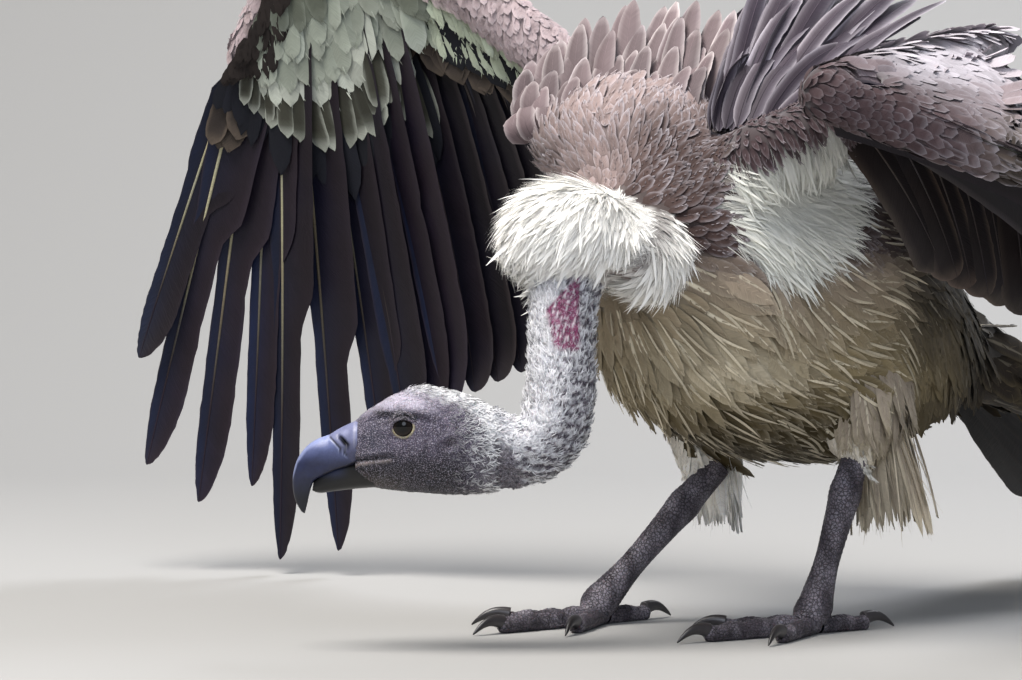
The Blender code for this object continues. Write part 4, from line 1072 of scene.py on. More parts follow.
# down, two layers each: spacing, threads at a root, length, half width, lift and settle in degrees, spread, rows, twist
downLayers = {
    "ruff": {"under": (0.0042, 4, 0.028, 0.0018, 5, -6, 0.10, 6, 0.08),
             "over": (0.0030, 12, 0.025, 0.00026, 8, -9, 0.14, 5, 0.12)},
    "axillary": {"under": (0.0048, 4, 0.032, 0.0014, 5, -5, 0.10, 6, 0.08),
                 "over": (0.0036, 12, 0.022, 0.00026, 9, -9, 0.20, 5, 0.12)},
}


def softDown():
    # ruff and axillary patch: soft locks close the ground, fine threads over them carry the silk and the ragged rim
    masks = {"ruff": np.isin(names, ("ruff", "collar")), "axillary": axilOf > 0.25}
    for part, layers in downLayers.items():
        for label, (gap, count, size, half, lift, settle, spread, rows, twist) in layers.items():
            points, facing, corner = scatter(skinVerts, skinQuads, skinNormals, np.where(masks[part], gap, bare), 12)
            region = skinRegion[corner]
            lie = alongSkin(lieOf(points, region), facing)
            q = points - shift
            hang = smooth(-q[:, 2], -0.30, -0.265) * (region == regionNames.index("ruff"))
            length = size * (1 + 0.45 * hang) + 0.006 * rng.random(len(points))
            if part == "ruff":
                length = endAtFold(q, lie, length)
            batch, source = threads(points, lie, facing, count, length, half, math.radians(lift), math.radians(settle),
                                    rng, spread=spread, rows=rows, sway=0.12, jitter=0.0026, twist=twist,
                                    scatterLift=0.08)
            dress(batch, markings(points, region)[source], wrapUV(points, region)[source], rng.random(len(source)), 0.0,
                  rootShade=0.96)
            cut = len(source) // 2 if label == "over" and part == "ruff" else len(source)
            for k, run in enumerate((slice(0, cut), slice(cut, None))):
                if len(source[run]):
                    some = {key: v[run] for key, v in batch.items()}
                    gather(f"{part}_down_{label}_{k + 1}", [some], white, "white_down")


bodyFeathers()
softDown()
print("body coat")


# the head, the neck and their skin

bareNape = mix("neckBare", "neckWool", 0.12)


def downLine(f, z):
    # how far a spot of the head lies behind the line where white down begins
    x = (-0.0950, -0.0854, -0.0830, -0.0650, -0.0600, -0.0514, -0.0342, -0.0144, 0.010, 0.030)
    edge = (0.1200, 0.1434, 0.1560, 0.1632, 0.1730, 0.1840, 0.1915, 0.1972, 0.2030, 0.2060)
    ragged = wobble(np.stack((f, f * 0, z), axis=-1), 0.0050, 61) * 0.0022
    return (z - np.interp(f, x, edge)) * 0.75 + ragged


def headColour(local):
    f, s, z = (local[..., i] for i in range(3))
    cloud = wobble(local, 0.016, 51) * 0.5 + wobble(local, 0.006, 52) * 0.5
    brow, mouth, browShadowRise = z - np.interp(f, *browLine), z - np.interp(f, *gape), z - 0.1828 - 0.10 * (f - 0.0002)
    down = smooth(downLine(f, z), -0.003, 0.005)
    return layered(
        "faceGrey", (tint("faceGrey") * 0.62, smooth(cloud, -0.2, 0.9)),
        # the forehead above the brow lighter: paler skin, brightened with a painted highlight from above
        ("#c4bdcd", smooth(brow, -0.001, 0.007) * smooth(f, -0.034, -0.004) * 0.85),
        # the lower rear of the head near black: the cheek's darker skin under painted shade beneath the head
        ("cheek", smooth(-z, -0.163, -0.138) * smooth(f, -0.080, -0.03) * 0.95),
        # painted shade in the hollow before the eye
        ("#3b3a4a", bell(f - 0.024, 0.012) * bell(z - 0.164, 0.013) * 0.95),
        ("#4a4232", smooth(-z, -0.142, -0.128) * smooth(f, -0.01, 0.02) * 0.6),
        # a near-black line just above the eye: the brow's painted shadow
        ("#0b090d", 0.95 * bell(browShadowRise + 0.0012, 0.0020) * smooth(f, -0.016, -0.008) * (1 - smooth(f, 0.018, 0.026))),
        # painted shade under the front of the brow
        ("#3a3543", 0.8 * bell(f - 0.016, 0.007) * bell(z - 0.1770, 0.0045)),
        ("#120e13", bell(mouth, 0.0012) * smooth(f, 0.003, 0.010)),
        ("#a3968f", 0.55 * bell(mouth + 0.0032, 0.0012) * smooth(f, 0.006, 0.012)),
        # the ear opening: reddish skin, darkened as painted shade in its hollow
        ("#2a161c", bell(earGap(f, z), 0.0034)),
        (tint("crown") * 0.80, down), (bareNape, smooth(-f, 0.045, 0.070) * (1 - down)))


def magentaShare(q):
    # the bare wedge at the side of the lower neck: narrow under the ruff, straight behind
    r, h = (q - magentaAt) @ np.array((0.7071, 0.7071, 0.0)), q[..., 2] - magentaAt[2]
    near = (q - magentaAt) @ np.array((0.7071, -0.7071, 0.0)) > -0.022
    front = np.interp(h, (-0.026, 0.0048, 0.0300), (-0.0070, -0.0138, 0.0100))
    return smooth(r - front, -0.0012, 0.0012) * (1 - smooth(r, 0.0110, 0.0128)) * smooth(h, -0.029, -0.022) \
        * (1 - smooth(h, 0.030, 0.036)) * near


def woolCover(points):
    # how closely wool covers the neck: solid along the nape, broken into clumps down the throat
    q = headLocal(points)
    middle = spline(neckPath, 60)
    at = middle[np.argmin(np.linalg.norm(q[..., None, :] - middle, axis=-1), axis=-1)]
    toward = np.stack((-0.072 - at[..., 0], np.zeros(at.shape[:-1]), np.maximum(0.215 - at[..., 2], 0.0)), axis=-1)
    nape = np.sum(unit(toward) * unit(q - at), axis=-1)
    clump = wobble(points, 0.0046, 95) * 0.6 + wobble(points, 0.0030, 96) * 0.6
    return 0.46 + 0.60 * smooth(nape, -0.45, 0.65) + 0.60 * clump


def neckColour(points):
    local, q = headLocal(points), points - shift
    bald = 1 - smooth(downLine(local[..., 0], local[..., 2]), -0.004, 0.005)
    streak = wobble(q * (1, 1, 0.22), 0.0016, 62)
    raw = layered("magenta", ("neckWool", smooth(streak, 0.35, 0.75) * 0.75),
                  ("#371a2c", smooth(-streak, 0.15, 0.60) * 0.8))
    return layered(mix("neckBare", tint("neckWool") * 0.8, smooth(woolCover(points), 0.35, 0.75)),
                   (bareNape, bald * (local[..., 0] > -0.095)), (raw, magentaShare(q)))


def platy(rings, path, gap, deep, top=False):
    # scutes: steps across the front of a shank or the top of a toe, worn round at their edges
    far = np.concatenate(([0], np.cumsum(np.linalg.norm(np.diff(path, axis=0), axis=-1))))
    out = unit(rings - path[:, None])
    over = smooth(out[..., 2] if top else -out[..., 1], -0.1, 0.55)
    step = ((1 - (far / gap) % 1.0) ** 0.5 - 0.55)[:, None] * over
    pads = np.sin(far[:, None] * 2 * math.pi / 0.0036) * np.sin(np.arange(rings.shape[1]) * 2 * math.pi / 5)
    pads = pads * (1 - over)
    return rings + out * (step * deep + pads * deep * 0.45)[..., None]


def toeLines(leg):
    # each toe's name, direction over the floor, start below the foot, length, thickness and joints
    foot = bird(*leg["foot"]) * (1, 1, 0)
    for name, (yaw, reach, thick, joints) in toes.items():
        heading = leg["yaw"] + math.radians(yaw) * leg["sign"]
        line = np.array((math.sin(heading), -math.cos(heading), 0.0))
        yield name, line, foot + line * 0.004, reach, thick, joints


def legParts():
    # shanks and toes: overlapping plates across the front, small pads at the back and below
    out = []
    shares = (-0.25, 0.0, 0.12, 0.30, 0.65, 0.88, 1.0)
    girth = spline(((0.0100, 0.0115), (0.0105, 0.0125), (0.0125, 0.0140), (0.0108, 0.0120), (0.0095, 0.0105),
                    (0.0125, 0.0125), (0.0146, 0.0142), (0.0136, 0.0118), (0.0052, 0.0044)), 150)
    for leg in legs.values():
        ankle, foot = bird(*leg["ankle"]), bird(*leg["foot"])
        path = [ankle + (foot - ankle) * s for s in shares]
        path = spline(path + [foot + (0, -0.009, -0.0062), foot + (0, -0.020, -0.0090)], 150)
        out.append(platy(around(path, girth, np.array((1.0, 0.0, 0.0)), 48), path, 0.0042, 0.00055))
        for name, line, base, reach, thick, joints in toeLines(leg):
            s = np.linspace(0, 1, 110)
            tall = thick * (1.06 - 0.24 * s) * (0.93 + 0.13 * (0.5 + 0.5 * np.cos(s * joints * 2 * math.pi)))
            path = base + line * (reach * s)[:, None] + up * (tall * 0.90)[:, None]
            tall = tall * np.sqrt(np.clip(1 - ((s - 0.93) / 0.075).clip(0) ** 2, 0.03, 1))
            rings = around(path, np.stack((tall * 1.02, tall), axis=-1), np.array((line[1], -line[0], 0.0)), 40)
            rings = platy(rings, path, 0.0048, 0.0006, True)
            rings[..., 2] = np.maximum(rings[..., 2], 0.0002)
            out.append(rings)
    return out


def buildSkin():
    front, back = headSkin()
    parts = [(front, headColour(headLocal(front)), headLocal(front), 1), (back, neckColour(back), headLocal(back), 1)]
    for side in (1, -1):
        ring, rim = eyeRing(side, 16, 96)
        local = headLocal(ring)
        # the lid is painted darker, most over its upper half: painted shade under the brow; the pale lower rim is the
        # lid's own yellow
        high = smooth(local[..., 2], eyeAt[1] + 0.001, eyeAt[1] + 0.006)[..., None]
        tone = layered(headColour(local) * (0.80 - 0.45 * high), ("#bdb189", np.clip(rim * 1.4, 0, 1) * 0.95),
                       ("#1d181f", np.clip(-rim, 0, 1)))
        parts.append((ring, tone, local, 1))
    for rings in legParts():
        parts.append((rings, mix("#4c464e", "#7b757e", smooth(wobble(rings, 0.02, 71), -0.5, 0.8)), rings - shift, 2))
    # under the coat the skin takes the plumage's colour at 0.8: painted shade deep in the coat
    rows = [(skinVerts, markings(skinVerts, skinRegion) * 0.8, skinVerts - shift, wrapUV(skinVerts, skinRegion))]
    quads, kinds, base = [skinQuads], [np.zeros(len(skinQuads), np.int32)], len(skinVerts)
    for i, (grid, tone, span, kind) in enumerate(parts):
        r, c = np.meshgrid(np.linspace(0, 1, grid.shape[0]), np.linspace(0, 1, grid.shape[1]), indexing="ij")
        # head and neck, then lids, shanks and toes take the tile that the body's parts leave free
        k = i - 2
        tile = np.stack((0.76 + 0.23 * c, 0.76 + 0.1127 * r + 0.118 * i), axis=-1) if i < 2 else \
            np.stack((0.76 + 0.055 * (k % 4) + 0.05 * c, 0.76 + 0.055 * (k // 4) + 0.05 * r), axis=-1)
        rows.append([v.reshape(-1, v.shape[-1]) for v in (grid, tone, span, tile)])
        quads.append(gridQuads(*grid.shape[:2], True) + base)
        kinds.append(np.full(len(quads[-1]), kind, np.int32))
        base += grid.size // 3
    verts, colours, spans, tiles = (np.concatenate(v) for v in zip(*rows))
    piece = buildMesh("skin", verts, np.concatenate(quads), (contourSkin, bareSkin, legScale),
                      {"plume": opaque(colours), "span": spans}, tiles)
    piece.data.polygons.foreach_set("material_index", np.concatenate(kinds))
    print("skin triangles", 2 * len(piece.data.polygons))
    own(piece, "head_skin", *(node for node, depth in flesh.values()), "head", "neck_upper", "neck_bend", "tarsus_left",
        "tarsus_right", *(f"toe_{t}_{side}" for t in toes for side in legs))


def headWool():
    # short down of head and neck: loose white wool behind, sparse bristles on the bare face
    centre = np.array([headPoint(*p) for p in neckPath])
    for part, grid in enumerate(headSkin()):
        verts, quads = grid.reshape(-1, 3), gridQuads(headRows, headCols, True)
        normals, local = vertexNormals(verts, quads), headLocal(verts)
        if np.sum(normals.reshape(grid.shape) * (grid - grid.mean(1, keepdims=True))) < 0:
            normals = -normals
        if part == 0:
            gap = 0.0020 * np.where(np.hypot(local[:, 0] - eyeAt[0], local[:, 2] - eyeAt[1]) < 0.0135, 400.0, 1.0)
            gap = np.where(local[:, 0] > 0.034, bare, gap)
        else:
            gap = np.where(magentaShare(verts - shift) > 0.5, 0.0046, 0.0026)
            gap = np.where(verts[:, 2] - shift[2] > 0.292, bare, gap)
        points, facing, corner = scatter(verts, quads, normals, gap, 90 + part)
        at = headLocal(points)
        n = len(points)
        behind = downLine(at[:, 0], at[:, 2])
        if part == 0:
            way = unit(headPoint(-1.0, 0, 0.05) - headPoint(0, 0, 0)) * np.ones((n, 1))
            pale = np.maximum(smooth(behind, -0.004, 0.008),
                              smooth(-at[:, 0], 0.024, 0.066) * smooth(woolCover(points), 0.40, 0.70))
            tuft = bell(at[:, 0] + 0.008, 0.012) * smooth(at[:, 2], 0.193, 0.198)      # loose on the crown
            length = 0.0015 + 0.0036 * pale + 0.0010 * rng.random(n) + 0.003 * tuft
            lift = np.radians(10 + 14 * pale) + 0.3 * tuft
            bristle = headColour(at) * (0.55 + 1.15 * rng.random(n) ** 2)[:, None]
            colour, half = mix(bristle, "crown", pale), 0.00017 + 0.00022 * pale
        else:
            nearest = np.argmin(np.linalg.norm(points[:, None] - centre, axis=-1), axis=1)
            way = unit(np.gradient(centre, axis=0))[nearest]
            near = np.maximum(smooth(behind, -0.006, 0.006), smooth(-at[:, 0], 0.088, 0.098))
            near = smooth(woolCover(points), 0.20, 0.65) * near
            bald = magentaShare(points - shift)
            length = (0.0034 + 0.0032 * rng.random(n)) * (0.30 + 0.80 * near) * (1 - 0.55 * bald)
            colour = layered(tint("neckBare") * 1.3, ("neckWool", near),
                             (mix("magenta", "neckWool", rng.random(n)), bald * 0.8))
            lift, half = math.radians(40), 0.00036 - 0.00018 * bald
        lie = alongSkin(way + 0.25 * rng.normal(size=(n, 3)), facing)
        batch, source = threads(points, lie, facing, (4, 6)[part], length, half, lift, math.radians(-15), rng,
                                spread=0.5, rows=4, sway=0.3, jitter=0.0009)
        tile = 0.76 + 0.23 * np.clip((at[:, ::2] - (-0.16, 0.10)) * (5, 4), 0, 1)
        dress(batch, colour[source], tile[source], rng.random(len(source)), 0.0, rootShade=0.7)
        gather(("head_down", "neck_wool")[part], [batch], wool, "white_down")


buildSkin()
headWool()
print("head and neck")


# eyes, bill, cere and claws

def buildEyes():
    glass = eyeMaterial(eyeLooks)
    a, b = np.linspace(0, math.pi, 72)[:, None], (np.arange(96) / 96 * 2 * math.pi)[None]
    spread = np.stack((np.sin(a) * np.cos(b), np.sin(a) * np.sin(b), np.cos(a) * np.ones_like(b)), axis=-1)
    for label, turn in (("left", 1), ("right", -1)):
        axis = unit(headPoint(0.10, 1.0 * turn, 0.03) - headPoint(0, 0, 0))
        side = unit(np.cross(axis, up))
        frame3 = np.array((side, np.cross(side, axis), axis))
        radius = head["eyeRadius"] * (1 + 0.035 * bell(a, 0.50))      # the cornea stands out in front
        verts = headPoint(eyeAt[0], (head["eye"][1] - eyeDeep) * turn, eyeAt[1]) + radius[..., None] * (spread @ frame3)
        piece = buildMesh("eye_ball_" + label, verts, gridQuads(72, 96, True)[:, ::-1], (glass,), {"span": spread * 10})
        own(piece, "eye", "eye_" + label)


# bill stations: top and low point of each, forward and height, and the half width
cereTable = (((0.0352, 0.1770), (0.0352, 0.1440), 0.0172), ((0.0385, 0.1752), (0.0385, 0.1430), 0.0166),
             ((0.0425, 0.1734), (0.0440, 0.1405), 0.0150), ((0.0500, 0.1696), (0.0520, 0.1380), 0.0134),
             ((0.0574, 0.1650), (0.0574, 0.1358), 0.0122))
upperTable = (((0.0566, 0.1655), (0.0566, 0.1360), 0.0122), ((0.0665, 0.1618), (0.0628, 0.1336), 0.0112),
              ((0.0745, 0.1562), (0.0668, 0.1316), 0.0100), ((0.0812, 0.1470), (0.0692, 0.1290), 0.0086),
              ((0.0846, 0.1358), (0.0712, 0.1240), 0.0070), ((0.0850, 0.1242), (0.0726, 0.1185), 0.0052),
              ((0.0828, 0.1140), (0.0740, 0.1122), 0.0034), ((0.0786, 0.1064), (0.0758, 0.1050), 0.0014))
lowerTable = (((0.0120, 0.1482), (0.0120, 0.1256), 0.0165), ((0.0250, 0.1458), (0.0250, 0.1248), 0.0150),
              ((0.0400, 0.1436), (0.0400, 0.1236), 0.0128), ((0.0520, 0.1402), (0.0530, 0.1220), 0.0108),
              ((0.0620, 0.1358), (0.0640, 0.1206), 0.0084), ((0.0690, 0.1300), (0.0700, 0.1222), 0.0050))
nostril = ((0.0492, 0.1648), (0.0412, 0.1564))
horn = ((0.0560, 0.1636), (0.0437, 0.1510))      # the slanting edge where soft cere gives way to horn


def profileLoft(table, rows, cols, power, form, boxed):
    # a loft through top and low points of a profile; boxed squares its lower (-1) or upper (1) half
    flat = spline([(*high, *low, half) for high, low, half in table], rows)
    a = (np.arange(cols) + 0.5) / cols * 2 * math.pi
    power = np.where(np.sin(a) * boxed > 0, 0.42, power)
    rise = 0.5 + 0.5 * rounded(np.sin(a), power)
    f, z = (flat[:, i + 2, None] + (flat[:, i] - flat[:, i + 2])[:, None] * rise for i in (0, 1))
    s = flat[:, 4, None] * rounded(np.cos(a), power)
    return np.stack(form(f, s, z), axis=-1)


def nostrilShare(f, z):
    gap, t = fromLine(f, z, nostril)
    return gap, np.sin(np.clip(t, 0.02, 0.98) * math.pi) ** 0.5


def cereForm(f, s, z):
    gap, share = nostrilShare(f, z)
    seam = 0.0010 * bell(fromLine(f, z, horn)[0], 0.0007)
    push = -0.0046 * bell(gap, 0.0014) * share - seam + 0.0005 * bell(f - 0.0385, 0.0020)
    return f, s + np.sign(s) * push * smooth(np.abs(s), 0.003, 0.008), z


def billForm(f, s, z):
    grain = wobble(np.stack((f, s * 0.6, z), axis=-1), 0.010, 21) * 0.00016
    tooth = 0.0006 * bell(z - 0.1330, 0.0020) * (f < 0.074)
    return f, s + np.sign(s) * (grain + tooth), z


def lowForm(f, s, z):
    return f, s, z


def billColour(local):
    f, z = local[..., 0], local[..., 2]
    ridge = z - np.interp(f, (0.057, 0.0665, 0.0745, 0.0812, 0.0850), (0.1652, 0.1618, 0.1562, 0.1470, 0.1340))
    border, seam = (z - horn[0][1]) * 0.94 - (f - horn[0][0]), fromLine(f, z, horn)[0]
    gap, share = nostrilShare(f, z)
    cere = layered("#767a9c", ("#3d3f5a", smooth(-z, -0.168, -0.150)),
                   # painted shade inside the nostril
                   ("#08070a", np.clip(1.6 * bell(gap, 0.0016), 0, 1) * share))
    return layered(
        "#6d77a6", ("#232845", smooth(-z, -0.166, -0.142)),
        ("#0d111c", smooth(-z, -0.138, -0.114) * smooth(f, 0.060, 0.072)),
        # first a painted highlight along the ridge
        ("#9aa4cd", smooth(ridge, -0.005, -0.001) * 0.6), (cere, smooth(border, -0.0004, 0.0006)),
        ("#aab0cc", 0.5 * bell(border + 0.0016, 0.0006) * bell(seam, 0.0022)), ("#12131f", 0.9 * bell(seam, 0.0008)),
        ("#b9b6bf", 0.25 * bell(f - 0.0376, 0.0009) * smooth(z, 0.157, 0.161)),
        ("#1b1a26", bell(z - np.interp(f, *gape), 0.0010) * (f < 0.062)))


def lowColour(local):
    # dark horn; its lower edge and its root near black: their own dark colour, deepened with painted shade under the
    # head
    return layered("#20253c", ("#07080b", smooth(-local[..., 2], -0.137, -0.131)),
                   ("#0e0c0b", 1 - smooth(local[..., 0], 0.040, 0.052)))


def buildBill():
    for name, table, cols, power, form, boxed, paint, material, slot, node in (
            ("cere_skin", cereTable, 96, 0.88, cereForm, -1, billColour, cereHorn, "cere_skin", "cere"),
            ("bill_top", upperTable, 84, 0.94, billForm, -1, billColour, billHorn, "bill_horn", "bill_upper"),
            ("bill_low", lowerTable, 84, 0.90, lowForm, 1, lowColour, billHorn, "bill_horn", "bill_lower")):
        local = capped(profileLoft(table, 110, cols, power, form, boxed))
        piece = buildMesh(name, headPoint(*np.moveaxis(local, -1, 0)), gridQuads(*local.shape[:2], True), (material,),
                          {"plume": opaque(paint(local)), "span": local})
        own(piece, slot, node)


def buildClaws():
    s = np.linspace(0, 1, 40)
    rise = 0.0090 - 0.0078 * s ** 1.8 + 0.0032 * np.sin(math.pi * s)
    girth = np.stack((0.0044 * (1 - s) ** 0.75 + 0.0004, 0.0054 * (1 - s) ** 0.75 + 0.0004), axis=-1)
    for label, leg in legs.items():
        for name, line, base, reach, thick, joints in toeLines(leg):
            path = base + line * (reach - 0.003 + clawLength * s)[:, None] + up * rise[:, None]
            rings = around(path, girth, np.array((line[1], -line[0], 0.0)), 28)
            rings[..., 2] = np.maximum(rings[..., 2], 0.0003)
            rings = capped(rings)
            tone = mix("#3a3638", "#151314", np.linspace(0, 1, len(rings))[:, None] * np.ones(28))
            piece = buildMesh(f"claw_{name}_{label}_horn", rings, gridQuads(len(rings), 28, True), (clawHorn,),
                              {"plume": opaque(tone), "span": rings - shift})
            own(piece, "claw_horn", f"claw_{name}_{label}")


clawLength = 0.030
buildEyes()
buildBill()
buildClaws()
print("bill, eyes and claws")


# flight feathers: each a shaft with a narrow leading and a wide trailing web

def curve3(a, b, c, s):
    a, b, c, s = np.array(a), np.array(b), np.array(c), np.asarray(s)[:, None]
    return a * (1 - s) * (1 - 2 * s) + b * 4 * s * (1 - s) + c * s * (2 * s - 1)


def lineUp(a, b, s):
    s = np.asarray(s)[:, None]
    return np.array(a) * (1 - s) + np.array(b) * s


def row(roots, tips, half, bow, kind, notch=1.0):
    n = len(roots)
    return {"root": roots + shift, "tip": tips + shift, "half": np.broadcast_to(half, n).astype(float),
            "bow": np.broadcast_to(bow, (n, 3)).astype(float), "kind": np.full(n, kind),
            "notch": np.broadcast_to(notch, n).astype(float)}


def wingRow(*rows):
    # one wing from the body outward: the first two rows were laid out from the outside in
    rows = [{k: v[::-1] for k, v in r.items()} for r in rows[:2]] + [rows[2]]
    return {k: np.concatenate([r[k] for r in rows]) for k in rows[0]}


def wingRows():
    r, l = wing["right"], wing["left"]
    s, m, k = np.linspace(0, 1, 10), np.linspace(0, 1, 14), np.linspace(0, 1, 6)
    tips = np.array(((-0.402, 0.059, 0.155), (-0.424, 0.057, 0.135), (-0.449, 0.054, 0.112), (-0.478, 0.050, 0.086),
                     (-0.520, 0.034, 0.024), (-0.569, 0.010, 0.014), (-0.597, 0.001, 0.078), (-0.638, -0.028, 0.063),
                     (-0.672, -0.059, 0.096), (-0.666, -0.074, 0.191)))
    right = wingRow(
        row(lineUp(r["elbow"], r["shoulder"], 0.05 + 0.75 * k),
            curve3((-0.138, 0.226, 0.196), (-0.118, 0.236, 0.225), (-0.086, 0.242, 0.262), k),
            0.019, (-0.010, 0.030, 0.030), "tertial"),
        row(lineUp(r["wrist"], r["elbow"], 0.075 + 0.895 * m),
            curve3((-0.381, 0.066, 0.168), (-0.262, 0.130, 0.205), (-0.150, 0.215, 0.185), m),
            0.0212, (-0.004, 0.022, 0.0), "secondary"),
        row(lineUp(r["wrist"], r["hand"], s) + (0.002, 0.004, 0.0), tips, 0.0255,
            np.stack((-0.006 - 0.010 * s, np.full(10, 0.012), np.zeros(10)), axis=-1), "primary",
            (1.0, 1.0, 0.92, 0.80, 0.66, 0.58, 0.52, 0.47, 0.44, 0.46)))
    reach = 0.33 + 0.17 * np.sin(math.pi * np.minimum(1, 0.12 + 0.78 * s) / 2) - 0.10 * np.maximum(0, s - 0.75)
    way = unit(np.stack((0.36 + 0.18 * s, 0.86 - 0.04 * s, -0.40 + 0.02 * s), axis=-1))
    roots = lineUp(l["wrist"], l["hand"], s) + (0, 0.004, 0.006)
    left = wingRow(
        row(lineUp(l["shoulder"], l["elbow"], 0.94 - 0.52 * k),
            curve3((0.150, 0.160, 0.248), (0.142, 0.112, 0.268), (0.136, 0.072, 0.288), k),
            0.0175, (0.008, 0, 0), "tertial"),
        row(lineUp(l["wrist"], l["elbow"], 0.09 + 0.81 * m),
            curve3((0.318, 0.140, 0.232), (0.232, 0.262, 0.222), (0.150, 0.330, 0.238), m),
            0.0200, (0.006, 0.006, 0.020), "secondary"),
        row(roots, roots + way * reach[:, None], 0.0238, (0.012, 0.004, 0.016), "primary",
            0.95 - 0.35 * np.maximum(0, s - 0.35)))
    return {"right": right, "left": left}


def fanFrames(feathers, dorsal):
    # across points toward the wing tip, rise toward the back of the wing
    root, tip = feathers["root"], feathers["tip"]
    along = unit(tip - root)
    across = alongSkin(np.gradient(root, axis=0) * 0.6 + np.gradient(tip, axis=0), along)
    rise = np.cross(along, across)
    return across, rise * np.where(rise @ np.array(dorsal) < 0, -1.0, 1.0)[:, None]


# lead and trail are the widths of the two webs, rim is where across the web the edge colour starts, sheenTint is a
# blue sheen painted over the narrow web; tip shapes are where the end begins along the feather, and how blunt it is
flightLooks = {
    "primary": {"tip": "pointed", "base": "#181118", "sheenTint": "#0d1730", "edge": "#2a232c", "lead": 0.50, "trail": 1.45,
                "rim": 0.75, "shaft": "#c9c4a0"},
    "secondary": {"tip": "square", "base": "#171218", "sheenTint": "#10152a", "edge": "#4c4648", "lead": 0.60, "trail": 1.30,
                  "rim": 0.85, "shaft": "#5a5350"},
    "tertial": {"tip": "square", "base": "#2c2626", "sheenTint": "#2a2629", "edge": "#75695f", "lead": 0.75, "trail": 1.20,
                "rim": 0.65, "shaft": "#5a5350"},
    "tail": {"tip": "square", "base": "#131112", "sheenTint": "#141319", "edge": "#2d2826", "lead": 0.85, "trail": 1.20,
             "rim": 0.80, "shaft": "#3b352f"},
    "scapular": {"tip": "ogive", "base": "#40373f", "sheenTint": "#453d48", "edge": "#b9b2ba", "lead": 1.0, "trail": 1.0,
                 "rim": 0.50, "shaft": "#352d36"},
    "crest": {"tip": "ogive", "base": "#66585a", "sheenTint": "#6d5f61", "edge": "#cfc5c4", "lead": 1.0, "trail": 1.0,
              "rim": 0.50, "shaft": "#4b3e3f"},
}
tipShapes = {"pointed": (0.80, 0.62), "square": (0.88, 0.50), "ogive": (0.66, 0.62)}


def recolour(batch, colour, share):
    batch["plume"][..., :3] = batch["plume"][..., :3] * (1 - share) + colour[:, None, None] * share


